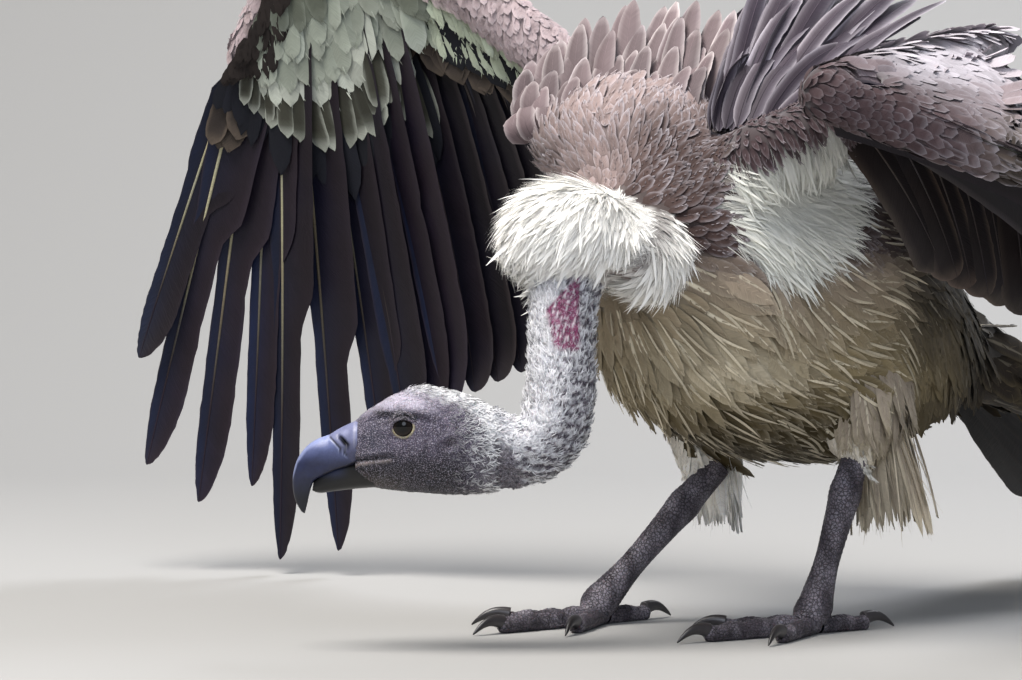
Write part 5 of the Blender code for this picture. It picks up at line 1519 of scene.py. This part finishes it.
def flightVanes(feathers, frames, seed, rows=46, cols=11, stack=0.0011, tilt=0.10, sag=0.012, girth=1.0):
    draw = np.random.default_rng(seed)
    across, rise = frames
    root, tip = feathers["root"], feathers["tip"]
    n = len(root)
    t, u = 1 - (1 - np.linspace(0, 1, rows)) ** 1.5, np.linspace(-1, 1, cols)
    reach = np.linalg.norm(tip - root, axis=-1)
    looks = [flightLooks[k] for k in feathers["kind"]]
    centre = root[:, None] * (1 - t)[:, None] + tip[:, None] * t[:, None]
    centre = centre + feathers["bow"][:, None] * (4 * t * (1 - t))[:, None]
    centre = centre - rise[:, None] * (sag * (t ** 2.5))[None, :, None] * (reach / 0.4)[:, None, None] * 0.6
    centre = centre + rise[:, None] * (((np.arange(n) % 2) - 0.5) * stack + draw.normal(size=n) * 0.0004)[:, None, None]
    lead, trail = np.empty((n, rows)), np.empty((n, rows))
    tone, edgeTone, sheenTone = (np.empty((n, 3)) for _ in range(3))
    for i, look in enumerate(looks):
        at, power = tipShapes[look["tip"]]
        notch, half = feathers["notch"][i], feathers["half"][i]
        body = (smooth(t, 0.02, 0.10) * 0.88 + 0.12) * np.clip(1 - ((t - at) / (1 - at)).clip(0) ** 2, 0, 1) ** power
        trailCut = 1 - 0.42 * smooth(t, notch - 0.06, notch + 0.03) * (notch < 1)
        leadCut = 1 - 0.30 * smooth(t, notch - 0.16, notch - 0.04) * (notch < 1)
        lead[i] = half * look["lead"] * body * leadCut + 0.0004
        trail[i] = half * look["trail"] * body * trailCut + 0.0004
        for _ in range(draw.integers(0, 3)):
            spot = draw.uniform(0.35, 0.97)
            trail[i] *= 1 - draw.uniform(0.02, 0.08) * np.clip(1 - np.abs(t - spot) * rows * 0.8, 0, 1)
        tone[i] = tint(look["base"]) * draw.uniform(0.75, 1.25)
        edgeTone[i] = tint(look["edge"])
        sheenTone[i] = tint(look["sheenTint"]) * draw.uniform(0.75, 1.25)
    wide = np.where(u > 0, lead[..., None], trail[..., None]) * u
    drop = -0.16 * np.abs(wide) ** 1.5 / 0.02 ** 0.5 + tilt * wide
    wave = 0.0004 * np.sin(t[None] * draw.uniform(9, 16, (n, 1)) + draw.uniform(0, 6, (n, 1)))
    frayed = draw.uniform(-1, 0.3, (n, rows, cols)) * (np.abs(u) > 0.85) * 0.0007
    verts = centre[:, :, None] + across[:, None, None] * (wide + np.sign(u) * frayed)[..., None] \
        + rise[:, None, None] * (drop + wave[..., None] * u ** 2)[..., None]
    far = (reach[:, None] * t)[:, :, None]
    vane = {"verts": verts, "wide": wide, "far": far * np.ones(cols), "u": np.broadcast_to(u, verts.shape[:3]),
            "t": np.broadcast_to(t[:, None], verts.shape[:3])}
    cell = np.arange(n)
    place = np.stack((cell % 8, cell // 8), axis=-1) * 0.12 + 0.01
    dress(vane, tone, place, draw.random(n), 0.0, patch=0.10, rootShade=0.9)
    # a painted blue sheen over the narrow web
    recolour(vane, sheenTone, smooth(vane["u"], -0.9, 0.9)[..., None])
    start = np.array([look["rim"] for look in looks])[:, None, None]
    rim = smooth(vane["t"], 0.90, 1.0) * 0.5 + np.clip((np.abs(vane["u"]) - start) / (1 - start), 0, 1) ** 1.3 * 0.8
    recolour(vane, edgeTone, np.clip(rim, 0, 1)[..., None] * draw.uniform(0.3, 1.0, (n, 1, 1, 1)))
    # the shaft, ivory at its root and darker toward the tip
    a = np.arange(6) / 6 * 2 * math.pi
    girth = girth * (0.00165 * (1 - t) ** 0.7 + 0.00030)[None, :] * (reach / 0.45)[:, None] ** 0.5
    spokes = across[:, None, None] * np.cos(a)[:, None] + rise[:, None, None] * np.sin(a)[:, None]
    shaft = centre[:, :, None] + spokes * girth[..., None, None]
    zero = np.zeros(shaft.shape[:3])
    quill = {"verts": shaft, "wide": zero, "far": far + zero, "u": zero, "t": t[:, None] + zero, "wrap": True}
    # the inner primaries' shafts are dark
    inner = (feathers["kind"] == "primary") & (cell < n - 5)
    pale = np.array([linear(look["shaft"]) for look in looks]) * np.where(inner, 0.25, 0.7)[:, None]
    dress(quill, pale, place, draw.random(n), 0.0, patch=0.002, rootShade=1.0)
    recolour(quill, tone * 1.8, smooth(quill["t"], 0.25, 0.85)[..., None])
    return [vane, quill]


def buildTail():
    n = 14
    s = np.linspace(-0.5, 0.5, n)
    root = np.array((0, 0.262, 0.203)) + np.stack((0.052 * s, np.full(n, 0.010), -0.006 * np.abs(s)), axis=-1)
    yaw, fall = math.radians(34) * s, math.radians(27)
    way = np.stack((np.sin(yaw), np.cos(yaw) * math.cos(fall), -np.cos(yaw) * math.sin(fall)), axis=-1)
    tip = root + way * (0.265 * (1 - 0.32 * s * s))[:, None]
    tip[:, 2] -= 0.022 * np.abs(2 * s) ** 1.5
    tail = row(root, tip, 0.0150, (0, 0, -0.006), "tail")
    vanes = flightVanes(tail, fanFrames(tail, (0, 0.3, 1.0)), 103, rows=34, tilt=0.05)
    gather("tail_fan", vanes, flight, "flight_feathers", "tail")


wings = wingRows()
frames = {"right": fanFrames(wings["right"], (-0.5, 0.75, 0.35)), "left": fanFrames(wings["left"], (0.4, -0.1, 1.0))}
for label, seed in (("right", 101), ("left", 102)):
    gather("flight_" + label, flightVanes(wings[label], frames[label], seed), flight, "flight_feathers",
           "primaries_" + label, "secondaries_" + label, "tertials_" + label)
buildTail()
print("flight feathers")


# coverts: rows of small feathers over the roots of the flight feathers, on both faces of each wing

# start from the bone line, length, half width, how many per flight feather, height off the wing, lift in degrees,
# first and last share of the wing from the body outward, colour, edge colour, share of edge, free barbs
covertRows = {
    "upperRight": (
        (0.040, 0.080, 0.0150, 1.4, 0.0040, 1, 0.0, 1.0, "dorsalDark", "dorsal", 0.30, 0),
        (0.026, 0.056, 0.0120, 1.9, 0.0070, 3, 0.0, 1.0, "dorsal", "cream", 0.45, 2),
        (0.014, 0.042, 0.0100, 2.4, 0.0095, 6, 0.0, 1.0, "dorsal", "cream", 0.40, 2),
        (0.002, 0.034, 0.0085, 2.9, 0.0115, 8, 0.0, 1.0, "dorsal", "cream", 0.35, 2),
        (-0.008, 0.028, 0.0075, 3.2, 0.0130, 10, 0.0, 1.0, "dorsal", "cream", 0.35, 2)),
    "underRight": (
        # the first row near black: the inner wing's dark coverts, deepened with painted shade
        (0.030, 0.075, 0.0125, 1.8, 0.0030, 1, 0.0, 0.74, "nightBlue", "underDark", 0.12, 0),
        (0.105, 0.110, 0.0130, 1.5, 0.0035, 1, 0.64, 1.0, "nightBlue", "nightBlue", 0.3, 0),
        (0.124, 0.060, 0.0105, 2.2, 0.0085, 1, 0.64, 0.93, "underDark", "underWhite", 0.75, 0),
        (0.088, 0.056, 0.0098, 3.2, 0.0080, 3, 0.65, 0.91, "underWhite", "underWhite", 0.4, 2),
        (0.068, 0.054, 0.0098, 3.4, 0.0100, 4, 0.64, 0.91, "underMid", "underWhite", 0.4, 2),
        (0.044, 0.052, 0.0098, 3.4, 0.0120, 5, 0.58, 0.91, "underMid", "underWhite", 0.4, 2),
        (0.018, 0.050, 0.0098, 3.4, 0.0135, 6, 0.56, 0.90, "underShade", "underMid", 0.4, 2),
        (0.060, 0.050, 0.0075, 3.6, 0.0125, 4, 0.86, 1.0, "brownDark", "brownDark", 0.2, 3),
        (0.024, 0.048, 0.0075, 3.6, 0.0140, 5, 0.84, 1.0, "brownDark", "brownDark", 0.2, 3),
        (0.000, 0.040, 0.0070, 3.8, 0.0155, 6, 0.82, 1.0, "brownDark", "brownDark", 0.2, 3),
        (0.062, 0.034, 0.0050, 9.0, 0.0070, 6, 0.02, 0.64, "armGreen", "underWhite", 0.4, 5),
        (0.038, 0.028, 0.0042, 7.0, 0.0095, 7, 0.02, 0.64, "armGreen", "underWhite", 0.3, 5),
        (0.020, 0.024, 0.0040, 7.0, 0.0115, 8, 0.04, 0.62, "armBuff", "armGreen", 0.3, 4)),
    "upperLeft": (
        (0.048, 0.095, 0.0150, 1.4, 0.0026, 0, 0.09, 1.0, "greyDark", "covertTop", 0.45, 0),
        (0.030, 0.070, 0.0125, 2.4, 0.0034, 0, 0.09, 1.0, "greyMid", "covertTop", 0.45, 0),
        (0.010, 0.060, 0.0120, 3.0, 0.0050, 1, 0.09, 1.0, "covertPink", "covertTop", 0.45, 0)),
    "underLeft": (
        (0.040, 0.072, 0.0130, 1.2, 0.0030, 2, 0.0, 1.0, "underDark", "underShade", 0.4, 2),
        (0.022, 0.052, 0.0100, 2.0, 0.0055, 3, 0.40, 1.0, "underDark", "underShade", 0.4, 4),
        (0.006, 0.040, 0.0085, 2.6, 0.0080, 3, 0.40, 1.0, "underDark", "underShade", 0.4, 4)),
}
covertLooks = {"right": {"camber": 0.14, "soft": 0.5}, "left": {"camber": 0.05, "soft": 0.85}}


def between(values, x):
    i = np.clip(x.astype(int), 0, len(values) - 2)
    f = (x - i)[:, None]
    return values[i] * (1 - f) + values[i + 1] * f


def buildCoverts(label):
    feathers, (across, rise) = wings[label], frames[label]
    n = len(feathers["root"])
    pieces, fringe = [], []
    for face, sign in (("upper", 1.0), ("under", -1.0)):
        for index, (start, length, half, per, height, lift, first, final, tone, edge, rim, free) in \
                enumerate(covertRows[face + label.capitalize()]):
            count = max(4, int(n * per * (final - first)))
            x = first * (n - 1) + (final - first) * (n - 1.001) * np.linspace(0, 1, count)
            x = np.clip(x + rng.normal(size=count) * 0.08, 0, n - 1.001)
            root, tip, bow, side, normal = (between(v, x) for v in (feathers["root"], feathers["tip"], feathers["bow"],
                                                                    across, rise))
            normal = unit(normal) * sign
            reach = np.linalg.norm(tip - root, axis=-1)
            outer = 1 - (0.90 if sign < 0 and label == "right" else 0.30) * smooth(x / (n - 1), 0.74, 1.0)
            short = np.clip(reach / 0.36, 0.45, 1.10)
            begin = start * short * outer
            short = short * (0.40 + 0.60 * outer)
            spots = [root + (tip - root) * t[:, None] + bow * (4 * t * (1 - t))[:, None]
                     for t in (begin / reach, (begin + length * short) / reach)]      # the chord of the bowed quill
            place = spots[0] + normal * height
            place = place + rng.normal(size=place.shape) * 0.0012
            way = alongSkin(unit(spots[1] - spots[0]) + rng.normal(size=(count, 1)) * 0.05 * unit(side), normal)
            size = length * short * rng.uniform(0.90, 1.10, count)
            batch = grow(place, way, normal, size, half * np.clip(short, 0.6, 1.1) * rng.uniform(0.9, 1.15, count),
                         np.radians(lift) * rng.uniform(0.6, 1.4, count), math.radians(-5.0 - lift * 0.6), 10, 7,
                         "round", rng, sway=0.05, fray=0.22 if free > 2 else 0.10, **covertLooks[label])
            base = tint(tone) * (0.85 + 0.3 * rng.random(count))[:, None]
            if label == "left" and face == "upper":
                base = mix(base, tint("covertTop") * 0.7, (1 - smooth(x / (n - 1), 0.30, 0.62)) * 0.8)
            tile = 0.02 + np.stack((0.9 * x / n, np.full(count, 0.45 * (face == "under") + 0.05 * index)), axis=-1)
            strength = rim * rng.uniform(0.5, 1.15, count)
            dress(batch, base, tile, rng.random(count), 0.0, tipColour=tint(edge), tipShare=strength, edge=0.9,
                  rootShade=0.90 if free > 2 or label == "left" else 0.65, edgeFrom=0.60)
            pieces.append(batch)
            fringe += barbs(batch, base, tile, free, 0.16, 0.00050, tint(edge), strength)
    gather("wing_coverts_" + label, pieces, covertVane, "body_feathers")
    gather("covert_barbs_" + label, fringe, contour, "body_feathers")


buildCoverts("right")
buildCoverts("left")


def raisedRows(spots, table, follow, half, bow, kind, jitter, dorsal, seed, **shape):
    # rows of long feathers, each shorter than the one behind it; spots are the two ends of the roots and three tips,
    # a row is its count, share of the full length and place ahead, and follow says how far the tips go ahead too
    out = []
    for depth, (count, share, ahead) in enumerate(table):
        off = np.array((0, ahead, 0.0))
        a, b = spots[0] + off, spots[1] + off
        tips = [p + (a * (1 - k) + b * k - p) * (1 - share) + off * share * follow
                for p, k in zip(spots[2:], (0, 0.5, 1))]
        s = np.linspace(0, 1, count)
        part = row(lineUp(a, b, s), curve3(*tips, s), half - 0.0006 * depth, bow, kind)
        part["tip"] = part["tip"] + rng.normal(size=part["tip"].shape) * jitter
        out += flightVanes(part, fanFrames(part, dorsal), seed + depth, stack=0.003, tilt=0.0, **shape)
    return out


def raisedFeathers():
    # the crest of the back first, then the scapulars of both sides
    crest = np.array(((-0.124, -0.108, 0.385), (0.014, -0.064, 0.400), (-0.139, -0.114, 0.455), (-0.090, -0.050, 0.494),
                      (0.000, -0.022, 0.492)))
    pieces = raisedRows(crest, ((14, 1.0, 0.0), (13, 0.82, -0.010), (14, 0.65, -0.019), (15, 0.48, -0.027)), 1, 0.0100,
                        (0, -0.010, 0), "crest", 0.0035, (0.2, -1.0, 0.2), 110, rows=16, cols=9, sag=0.01, girth=0.35)
    scapulars = np.array(((0.045, -0.088, 0.396), (0.088, -0.058, 0.400), (0.016, -0.004, 0.512), (0.032, 0.075, 0.528),
                          (0.090, 0.122, 0.508)))
    for sign, off in ((1, (0, 0, 0)), (-1, (-0.014, 0.034, -0.010))):
        pieces += raisedRows(scapulars * (sign, 1, 1) + off,
                             ((15, 1.0, 0.0), (14, 0.84, -0.006), (13, 0.67, -0.012), (12, 0.50, -0.018)), 0, 0.0084,
                             (0, -0.004, 0.010), "scapular", 0.005, (0.6 * sign, -0.7, 0.3), 120, rows=22, cols=7,
                             sag=0.03, girth=0.4)
    gather("raised_feathers", pieces, covertVane, "body_feathers", "mantle_crest", "scapulars_left", "scapulars_right")


def buildPlumes():
    # loose plumes below the thighs
    pieces, count = [], 60
    for label, low, edge in (("left", -0.044, "cream"), ("right", -0.030, "white")):
        ankle, sign = bird(*legs[label]["ankle"]), legs[label]["sign"]
        s, k = rng.uniform(-0.62, 0.62, count), rng.random(count)
        root = ankle + np.stack((0.026 * s * sign + 0.004 * sign, 0.024 + 0.010 * s + 0.014 * k, 0.046 + 0.012 * k),
                                axis=-1)
        tip = ankle + np.stack((0.060 * s * sign + 0.010 * sign, 0.040 + 0.022 * s,
                                low - 0.012 * np.abs(s) + 0.05 * k * rng.random(count)), axis=-1)
        way, size = unit(tip - root), np.linalg.norm(tip - root, axis=-1)
        out = np.stack((s * sign, 0.55 * np.sign(rng.random(count) - 0.3), np.full(count, 0.1)), axis=-1)
        normal = alongSkin(unit(out), way)
        batch = grow(root, way, normal, size, 0.0056, 0.10, -0.10, 9, 5, "lance", rng, sway=0.05, camber=0.3, fray=0.25)
        tone = mix("thigh", "cream", rng.random(count) * 0.8) if label == "left" else \
            mix("cream", "white", 0.6 + 0.4 * rng.random(count))
        tile = np.stack((0.1 + 0.3 * (s + 0.6), 0.6 + 0.2 * k), axis=-1)
        pieces.append(dress(batch, tone, tile, rng.random(count), 0.2, tipColour=tint(edge), tipShare=0.6, edge=0.5,
                            rootShade=0.9))
        hair, source = threads(root, way, normal, 7, size * 0.92, 0.0006, math.radians(3), math.radians(-3), rng,
                               spread=0.07, rows=6, sway=0.06, jitter=0.004, twist=0.3, scatterLift=0.03)
        pieces.append(dress(hair, np.clip(tone[source] * 1.15, 0, 1), tile[source], rng.random(len(source)), 0.0,
                            rootShade=0.9))
    gather("thigh_plume_vanes", pieces, contour, "pale_plumes", "thigh_plumes_left", "thigh_plumes_right")


raisedFeathers()
buildPlumes()
print("coverts and plumes")


# floor, light and camera; a lamp is its place, aim, size, power and colour

stageLooks = {"floor": "#a5a4a2", "room": "#e9eef5", "sky": 0.28, "lamps": {
    "key": ((-0.2, -1.3, 2.9), (-0.05, -0.05, 0.32), 1.8, 150.0, "#fffbf6"),
    "fill": ((2.4, -1.9, 1.7), (0.0, 0.0, 0.25), 2.0, 34.0, "#e6efff"),
    "rim": ((-0.6, 2.2, 2.4), (0.0, -0.1, 0.35), 1.4, 60.0, "#f4f7ff"),
}}


def areaLight(name, at, aim, size, power, colour):
    lamp = bpy.data.lights.new(name, "AREA")
    lamp.shape = "DISK"
    lamp.size = size
    lamp.energy = power
    lamp.color = linear(colour)
    light = bpy.data.objects.new(name, lamp)
    light.location = at
    light.rotation_euler = (Vector(aim) - Vector(at)).to_track_quat("-Z", "Y").to_euler()
    bpy.context.scene.collection.objects.link(light)


def buildStage():
    # a floor that sweeps up behind: matt card, so nothing competes with the plumage
    away = np.array((-0.7071, 0.7071, 0.0))
    side = np.array((0.7071, 0.7071, 0.0))
    a = np.linspace(0, math.radians(59), 24)      # low enough to look over from behind
    run = np.concatenate(([-5.0, -1.0, 1.4], 1.4 + 1.2 * np.sin(a)))
    rise = np.concatenate(([0, 0, 0], 1.2 - 1.2 * np.cos(a)))
    verts = away * run[:, None, None] + side * np.linspace(-6, 6, 2)[None, :, None] + up * rise[:, None, None]
    card = newMaterial("backdrop, matt card", Base_Color=(*linear(stageLooks["floor"]), 1.0), Roughness=0.9)[0]
    bpy.context.scene.view_settings.view_transform = "Standard"
    buildMesh("backdrop", verts, gridQuads(len(run), 2), (card,))
    world = bpy.data.worlds.new("room")
    bpy.context.scene.world = world
    world.use_nodes = True
    sky = world.node_tree.nodes["Background"]
    sky.inputs["Color"].default_value = (*linear(stageLooks["room"]), 1.0)
    sky.inputs["Strength"].default_value = stageLooks["sky"]
    for name, settings in stageLooks["lamps"].items():
        areaLight(name, *settings)


def buildCamera():
    turn, lift, far = math.radians(45), math.radians(3), 4.0
    target = np.array((-0.138, -0.138, 0.228)) + shift
    back = np.array((math.sin(turn) * math.cos(lift), -math.cos(turn) * math.cos(lift), math.sin(lift)))
    lens = bpy.data.cameras.new("camera")
    lens.sensor_width = 36.0
    lens.lens = 36.0 * far / 0.8176
    camera = bpy.data.objects.new("camera", lens)
    camera.location = target + back * far
    camera.rotation_euler = Vector(-back).to_track_quat("-Z", "Y").to_euler()
    bpy.context.scene.collection.objects.link(camera)
    bpy.context.scene.camera = camera


buildStage()
buildCamera()
print("finished")
